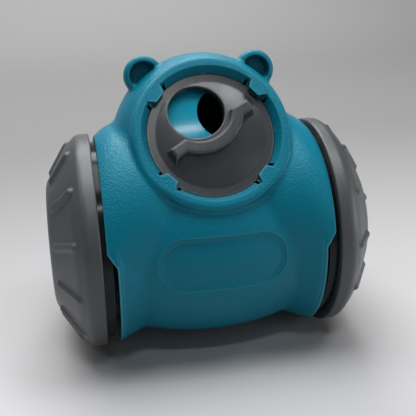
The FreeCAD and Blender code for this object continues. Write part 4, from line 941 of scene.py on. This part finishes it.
    def build(self, shop: FinishShop, tree: GeometryTree) -> None:
        """Build the set in place of its plain node.

        Args:
            shop: Where the finish comes from.
            tree: The tree that makes the screws.
        """
        made = bmesh.new()
        for seat in self.seats:
            made.verts.new([size * MM for size in seat])
        piece = new_piece(self.name, made)
        tree.apply(piece, {
            "Head Radius": self.head_radius * MM, "Head Height": self.head_height * MM,
            "Shank Radius": self.shank_radius * MM, "Shank Length": self.shank_length * MM,
            "Thread Pitch": self.pitch * MM, "Thread Root": self.root,
            "Axis": self.axis, "Material": shop.steel(SCREW)}, self.crease)
        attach(piece, "housing")
        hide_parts(self.node)
        LOG.info("%s: %d screws, %d points", piece.name, len(self.seats), len(piece.data.vertices))


def parting_axes() -> tuple[Vector, Vector]:
    """Give the directions out of the parting plane to the front, and up along it."""
    tilt = math.radians(PARTING_TILT)
    return Vector((0.0, -math.cos(tilt), math.sin(tilt))), Vector((0.0, math.sin(tilt), math.cos(tilt)))


@dataclass
class Fastenings:
    """All three sets of screws that hold the barrel, the shutter plate and the ballast cover.

    Sizes are in millimetres.

    Attributes:
        shop: Where the finish comes from.
        shell_bosses: Offsets of the shell screws across and along the parting plane.
        door_origin: Middle of the door's ring above the floor.
        door_axis: Direction that the door faces.
        plate_seat: Distance of the plate screws' seats behind the ring's lip.
        plate_circle: Radius of the circle of plate screws.
        cover_reach: Offset of each cover screw from the middle.
        cover_back: Place of the cover screws from front to back.
        cover_seat: Height of the cover screws' seats.
    """

    shop: FinishShop
    shell_bosses: tuple[Point, ...] = (
        (31.3, 34.0), (-31.3, 34.0), (27.0, -34.6), (-27.0, -34.6), (0.0, TOP_SCREW_RISE))
    door_origin: Spot = (0.0, -21.0, 97.8)
    door_axis: Spot = (0.0, -0.8120836, 0.5835414)
    plate_seat: float = 8.64
    plate_circle: float = 27.7
    cover_reach: float = 26.0
    cover_back: float = -0.6
    cover_seat: float = 19.6

    def shell_seats(self) -> list[Spot]:
        """Place the screws that hold the two shells together."""
        out, rise = parting_axes()
        axle = Vector((0.0, 0.0, AXLE_HEIGHT / MM))
        return [tuple(Vector((across, 0.0, 0.0)) - out * SHELL_SEAT + rise * along + axle)
                for across, along in self.shell_bosses]

    def plate_seats(self) -> list[Spot]:
        """Place the screws that hold the shutter plate."""
        out = Vector(self.door_axis)
        rise = Vector((0.0, out.z, -out.y))
        seats = []
        for quarter in range(4):
            turn = math.pi / 2 * quarter
            spot = (Vector(self.door_origin) - out * self.plate_seat
                    + Vector((1.0, 0.0, 0.0)) * self.plate_circle * math.cos(turn)
                    + rise * self.plate_circle * math.sin(turn))
            seats.append(tuple(spot))
        return seats

    def build(self) -> None:
        """Build the three sets of screws."""
        tree = SelfTappers.tree()
        out, _ = parting_axes()
        covers = [(side * self.cover_reach, self.cover_back, self.cover_seat) for side in (-1, 1)]
        sets = (
            SelfTappers("shell_tappers", "shell_screws", self.shell_seats(), tuple(out),
                        head_radius=2.7, head_height=2.0, shank_radius=1.5, shank_length=11.0),
            SelfTappers("plate_tappers", "plate_screws", self.plate_seats(), self.door_axis,
                        head_radius=2.5, head_height=1.6, shank_radius=1.25, shank_length=4.8),
            SelfTappers("cover_tappers", "cover_screws", covers, (0.0, 0.0, -1.0),
                        head_radius=2.5, head_height=1.6, shank_radius=1.25, shank_length=6.0),
        )
        for screws in sets:
            screws.build(self.shop, tree)


@dataclass
class TopScrewWell:
    """The sleeve round the top shell screw, from its seat out to the shell's skin.

    Sizes are in millimetres, and stations run out of the parting plane to the front.

    Attributes:
        shop: Where the finish comes from.
        face: Station of the sleeve's inner end.
        end: Station of the sleeve's outer end at its middle.
        slope: Slope of the shell's skin across the sleeve.
        outside: Outer radius.
        bore: Radius of the room for the screw's head.
        hole: Radius of the hole for the screw's shank.
        steps: Steps of the turned form.
        touch: How near its end a point has to lie to belong to it.
    """

    shop: FinishShop
    face: float = -3.6
    end: float = -9.85
    slope: float = 0.88
    outside: float = 4.1
    bore: float = 2.95
    hole: float = 1.6
    steps: int = 48
    touch: float = 1e-4

    def build(self) -> None:
        """Build the sleeve and set it on the housing."""
        loop = [(self.face, self.hole), (-SHELL_SEAT, self.hole), (-SHELL_SEAT, self.bore),
                (self.end, self.bore), (self.end, self.outside), (self.face, self.outside)]
        made = lathe(loop, self.steps)
        for vert in made.verts:
            if abs(vert.co.x - self.end) < self.touch:
                vert.co.x += self.slope * vert.co.z
        out, rise = parting_axes()
        turn = Matrix((out, rise.cross(out), rise)).transposed().to_4x4()
        middle = rise * TOP_SCREW_RISE * MM + Vector((0.0, 0.0, AXLE_HEIGHT))
        place = Matrix.Translation(middle) @ turn @ Matrix.Scale(MM, 4)
        bmesh.ops.transform(made, matrix=place, verts=made.verts)
        piece = new_piece("top_screw_well", made)
        self.shop.dress(piece, self.shop.plastic(TEAL_SHELL))
        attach(piece, "housing")
        LOG.info("%s: %d points", piece.name, len(piece.data.vertices))


@dataclass
class PhotoCamera:
    """The camera at the photograph's viewing angle.

    Attributes:
        place: Camera position in millimetres from the middle of the axle.
        right: Camera's right in the object's frame.
        up: Camera's up in the object's frame.
        focal: Focal length in millimetres.
        sensor: Width of the sensor in millimetres.
        nearest: Distance in metres from which the camera sees.
    """

    place: Spot = (-54.24, -285.22, 136.17)
    right: Spot = (0.97998, -0.19862, -0.01342)
    up: Spot = (0.09124, 0.38821, 0.91704)
    focal: float = 61.70
    sensor: float = 36.0
    nearest: float = 0.01

    def build(self) -> None:
        """Make the camera and make it the scene's own."""
        data = bpy.data.cameras.new("photo_camera")
        data.sensor_width = self.sensor
        data.lens = self.focal
        data.clip_start = self.nearest
        camera = bpy.data.objects.new("photo_camera", data)
        bpy.context.scene.collection.objects.link(camera)
        right = Vector(self.right).normalized()
        back = right.cross(Vector(self.up)).normalized()
        up = back.cross(right)
        turn = Matrix((right, up, back)).transposed().to_4x4()
        spot = Vector(self.place) * MM + Vector((0.0, 0.0, AXLE_HEIGHT))
        camera.matrix_world = Matrix.Translation(spot) @ turn
        bpy.context.scene.camera = camera


@dataclass(frozen=True)
class Lamp:
    """One soft rectangular lamp.

    Attributes:
        name: Name of the lamp.
        spot: Where it hangs, in metres.
        aim: What it points at, in metres.
        size: Its width and height in metres.
        power: Its power in watts.
    """

    name: str
    spot: Spot
    aim: Spot
    size: Pair
    power: float

    def hang(self) -> None:
        """Put the lamp into the scene."""
        data = bpy.data.lights.new(self.name, "AREA")
        data.shape = "RECTANGLE"
        data.size, data.size_y = self.size
        data.energy = self.power
        item = bpy.data.objects.new(self.name, data)
        item.location = self.spot
        item.rotation_euler = (Vector(self.aim) - Vector(self.spot)).to_track_quat("-Z", "Y").to_euler()
        bpy.context.scene.collection.objects.link(item)


TOY_MIDDLE = (0.0, 0.0, 0.08)
LAMPS = (
    Lamp("overhead", (-0.05, 0.13, 1.0), (0.0, 0.03, 0.06), size=(0.8, 0.6), power=8.0),
    Lamp("back_sky", (-0.1, 0.66, 0.78), TOY_MIDDLE, size=(0.9, 0.3), power=6.2),
    Lamp("front_strip", (0.0, -0.45, 0.79), (0.0, -0.02, 0.1), size=(0.2, 0.045), power=0.62),
    Lamp("right_bank", (0.38, -0.1, 0.85), TOY_MIDDLE, size=(0.3, 0.25), power=1.7),
    Lamp("left_bank", (-0.6, 0.15, 0.75), TOY_MIDDLE, size=(0.4, 0.4), power=0.8),
    Lamp("window_low", (0.6, -0.08, 0.08), (0.05, 0.0, 0.05), size=(0.3, 0.12), power=0.5),
    Lamp("window_front", (0.55, -0.5, 0.25), TOY_MIDDLE, size=(0.3, 0.3), power=0.35),
)


@dataclass
class Studio:
    """A pale floor and backdrop of one sheet of paper, painted with light and shade that fall off behind,
    and the faint light of the room.

    Lengths are in metres, and places run from front to back.

    Attributes:
        floor_tone: sRGB grey of the paper in front.
        painted_far_tone: sRGB grey painted on the paper behind, darker than in front as painted shade.
        painted_wall_tone: sRGB grey painted on the paper where it climbs, lighter than behind as painted
            light.
        bounce_tone: sRGB grey that the paper throws back on to the toy.
        sky_tone: sRGB grey of the room past the paper.
        room_tone: sRGB grey of the room's faint even light.
        floor_blue: How much more blue than grey the paper in front is.
        fade: Where the tone in front starts to give way to the tone behind, and where it has.
        climb: Where the tone behind starts to give way to the tone of the wall, and where it has.
        reach: Half the floor's width.
        front: How far the floor reaches to the front.
        back: How far back the wall stands.
        bend: Radius of the curve between floor and wall.
        bend_steps: Steps of that curve.
        top: Height of the wall.
    """

    floor_tone: float = 213.0
    painted_far_tone: float = 142.0
    painted_wall_tone: float = 176.0
    bounce_tone: float = 180.0
    sky_tone: float = 150.0
    room_tone: float = 18.0
    floor_blue: float = 2.0
    fade: Pair = (-0.2, 0.3)
    climb: Pair = (0.45, 0.95)
    reach: float = 1.6
    front: float = 1.2
    back: float = 0.95
    bend: float = 0.35
    bend_steps: int = 16
    top: float = 1.6

    def sweep(self, seen: bpy.types.NodeTree) -> None:
        """Build the floor and backdrop as one sheet that curves up behind the toy.

        Args:
            seen: The group that tells the shown tone from the thrown one.
        """
        foot = self.back - self.bend
        profile = [(-self.front, 0.0), (-self.front / 2, 0.0), (0.0, 0.0), (foot, 0.0)]
        for step in range(1, self.bend_steps + 1):
            angle = math.pi / 2 * step / self.bend_steps
            profile.append((foot + self.bend * math.sin(angle), self.bend - self.bend * math.cos(angle)))
        profile.append((self.back, self.top))
        points = [(side * self.reach, y, z) for y, z in profile for side in (-1, 1)]
        faces = [(2 * i, 2 * i + 1, 2 * i + 3, 2 * i + 2) for i in range(len(profile) - 1)]
        mesh = bpy.data.meshes.new("sweep")
        mesh.from_pydata(points, [], faces)
        mesh.polygons.foreach_set("use_smooth", [True] * len(faces))
        sweep = bpy.data.objects.new("sweep", mesh)
        bpy.context.scene.collection.objects.link(sweep)
        mesh.materials.append(self.paper(seen))

    def paper(self, seen: bpy.types.NodeTree) -> bpy.types.Material:
        """Make the pale paper of the sweep.

        Args:
            seen: The group that tells the shown tone from the thrown one.

        Returns:
            Its material.
        """
        material = bpy.data.materials.new("studio_paper")
        material.use_nodes = True
        material.node_tree.nodes.clear()
        made = NodeTree(material.node_tree)
        shader = made.add("ShaderNodeBsdfDiffuse")
        place = made.add("ShaderNodeSeparateXYZ")
        made.join(made.add("ShaderNodeTexCoord").outputs["Object"], place.inputs["Vector"])
        # Painted light and shade: the paper as seen is lighter in front, darker behind and lighter again
        # up the wall.
        depth = made.eased(place.outputs["Y"], *self.fade)
        mix = made.add("ShaderNodeMix", data_type="RGBA")
        mix.inputs["A"].default_value = rgba(self.floor_tone, self.floor_tone,
                                             self.floor_tone + self.floor_blue)
        mix.inputs["B"].default_value = grey(self.painted_far_tone)
        made.join(depth.outputs["Result"], mix.inputs["Factor"])
        climb = made.eased(place.outputs["Y"], *self.climb)
        fade = made.add("ShaderNodeMix", data_type="RGBA")
        fade.inputs["B"].default_value = grey(self.painted_wall_tone)
        made.join(mix.outputs["Result"], fade.inputs["A"])
        made.join(climb.outputs["Result"], fade.inputs["Factor"])
        shade = made.add("ShaderNodeGroup", node_tree=seen)
        shade.inputs["Thrown"].default_value = grey(self.bounce_tone)
        made.join(fade.outputs["Result"], shade.inputs["Seen"])
        made.join(shade.outputs["Tone"], shader.inputs["Color"])
        output = made.add("ShaderNodeOutputMaterial")
        made.join(shader.outputs["BSDF"], output.inputs["Surface"])
        return material

    def world(self, seen: bpy.types.NodeTree) -> None:
        """Set the faint light of the room and the pale tone seen past the paper.

        Args:
            seen: The group that tells the shown tone from the thrown one.
        """
        world = bpy.data.worlds.new("room")
        world.use_nodes = True
        world.node_tree.nodes.clear()
        made = NodeTree(world.node_tree)
        shade = made.add("ShaderNodeGroup", node_tree=seen)
        shade.inputs["Thrown"].default_value = grey(self.room_tone)
        shade.inputs["Seen"].default_value = grey(self.sky_tone)
        background = made.add("ShaderNodeBackground")
        made.join(shade.outputs["Tone"], background.inputs["Color"])
        output = made.add("ShaderNodeOutputWorld")
        made.join(background.outputs["Background"], output.inputs["Surface"])
        bpy.context.scene.world = world

    def build(self) -> None:
        """Build the whole studio."""
        seen = seen_group()
        self.sweep(seen)
        for lamp in LAMPS:
            lamp.hang()
        self.world(seen)


@dataclass
class Toy:
    """The CAD nodes that stay as they are, and the finish of each.

    Attributes:
        shop: Where the finishes come from.
    """

    shop: FinishShop

    def dress(self, nodes: dict[str, bpy.types.Object]) -> None:
        """Give every node that stays its finish.

        Args:
            nodes: The CAD nodes by name.
        """
        teal = self.shop.plastic(TEAL_SHELL)
        finishes = {
            "front_shell": teal,
            "rear_shell": teal,
            "shutter_plate": self.shop.plastic(LIT_TEAL_GLOSS),
            "rotary_door": self.shop.plastic(DOOR_GREY),
            "ballast_slug": self.shop.steel(BALLAST),
            "ballast_cover": self.shop.plastic(CHARCOAL),
        }
        for side in ("left", "right"):
            finishes[side + "_end_plate"] = self.shop.plastic(CHARCOAL)
            finishes[side + "_axle_pin"] = self.shop.steel(AXLE)
            finishes[side + "_axle_washer"] = self.shop.steel(SCREW)
            finishes[side + "_axle_screw"] = self.shop.steel(SCREW)
            finishes[side + "_hub_bush"] = self.shop.plastic(BUSH)
            finishes[side + "_wheel_drum"] = self.shop.plastic(CHARCOAL)
            finishes[side + "_hub_cap"] = self.shop.plastic(WARM_GREY)
        for name, material in finishes.items():
            self.shop.dress(nodes[name], material)
            LOG.info("dressed %s in %s", name, material.name)


def main() -> None:
    """Build the whole scene in order."""
    logging.basicConfig(level=logging.INFO)
    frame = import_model()
    PhotoCamera().build()
    bpy.context.scene.view_settings.view_transform = "Standard"
    Studio().build()
    shop = FinishShop()
    Toy(shop).dress(frame["nodes"])
    WheelDomes(shop).build()
    Fastenings(shop).build()
    TopScrewWell(shop).build()


if __name__ == "__main__":
    main()
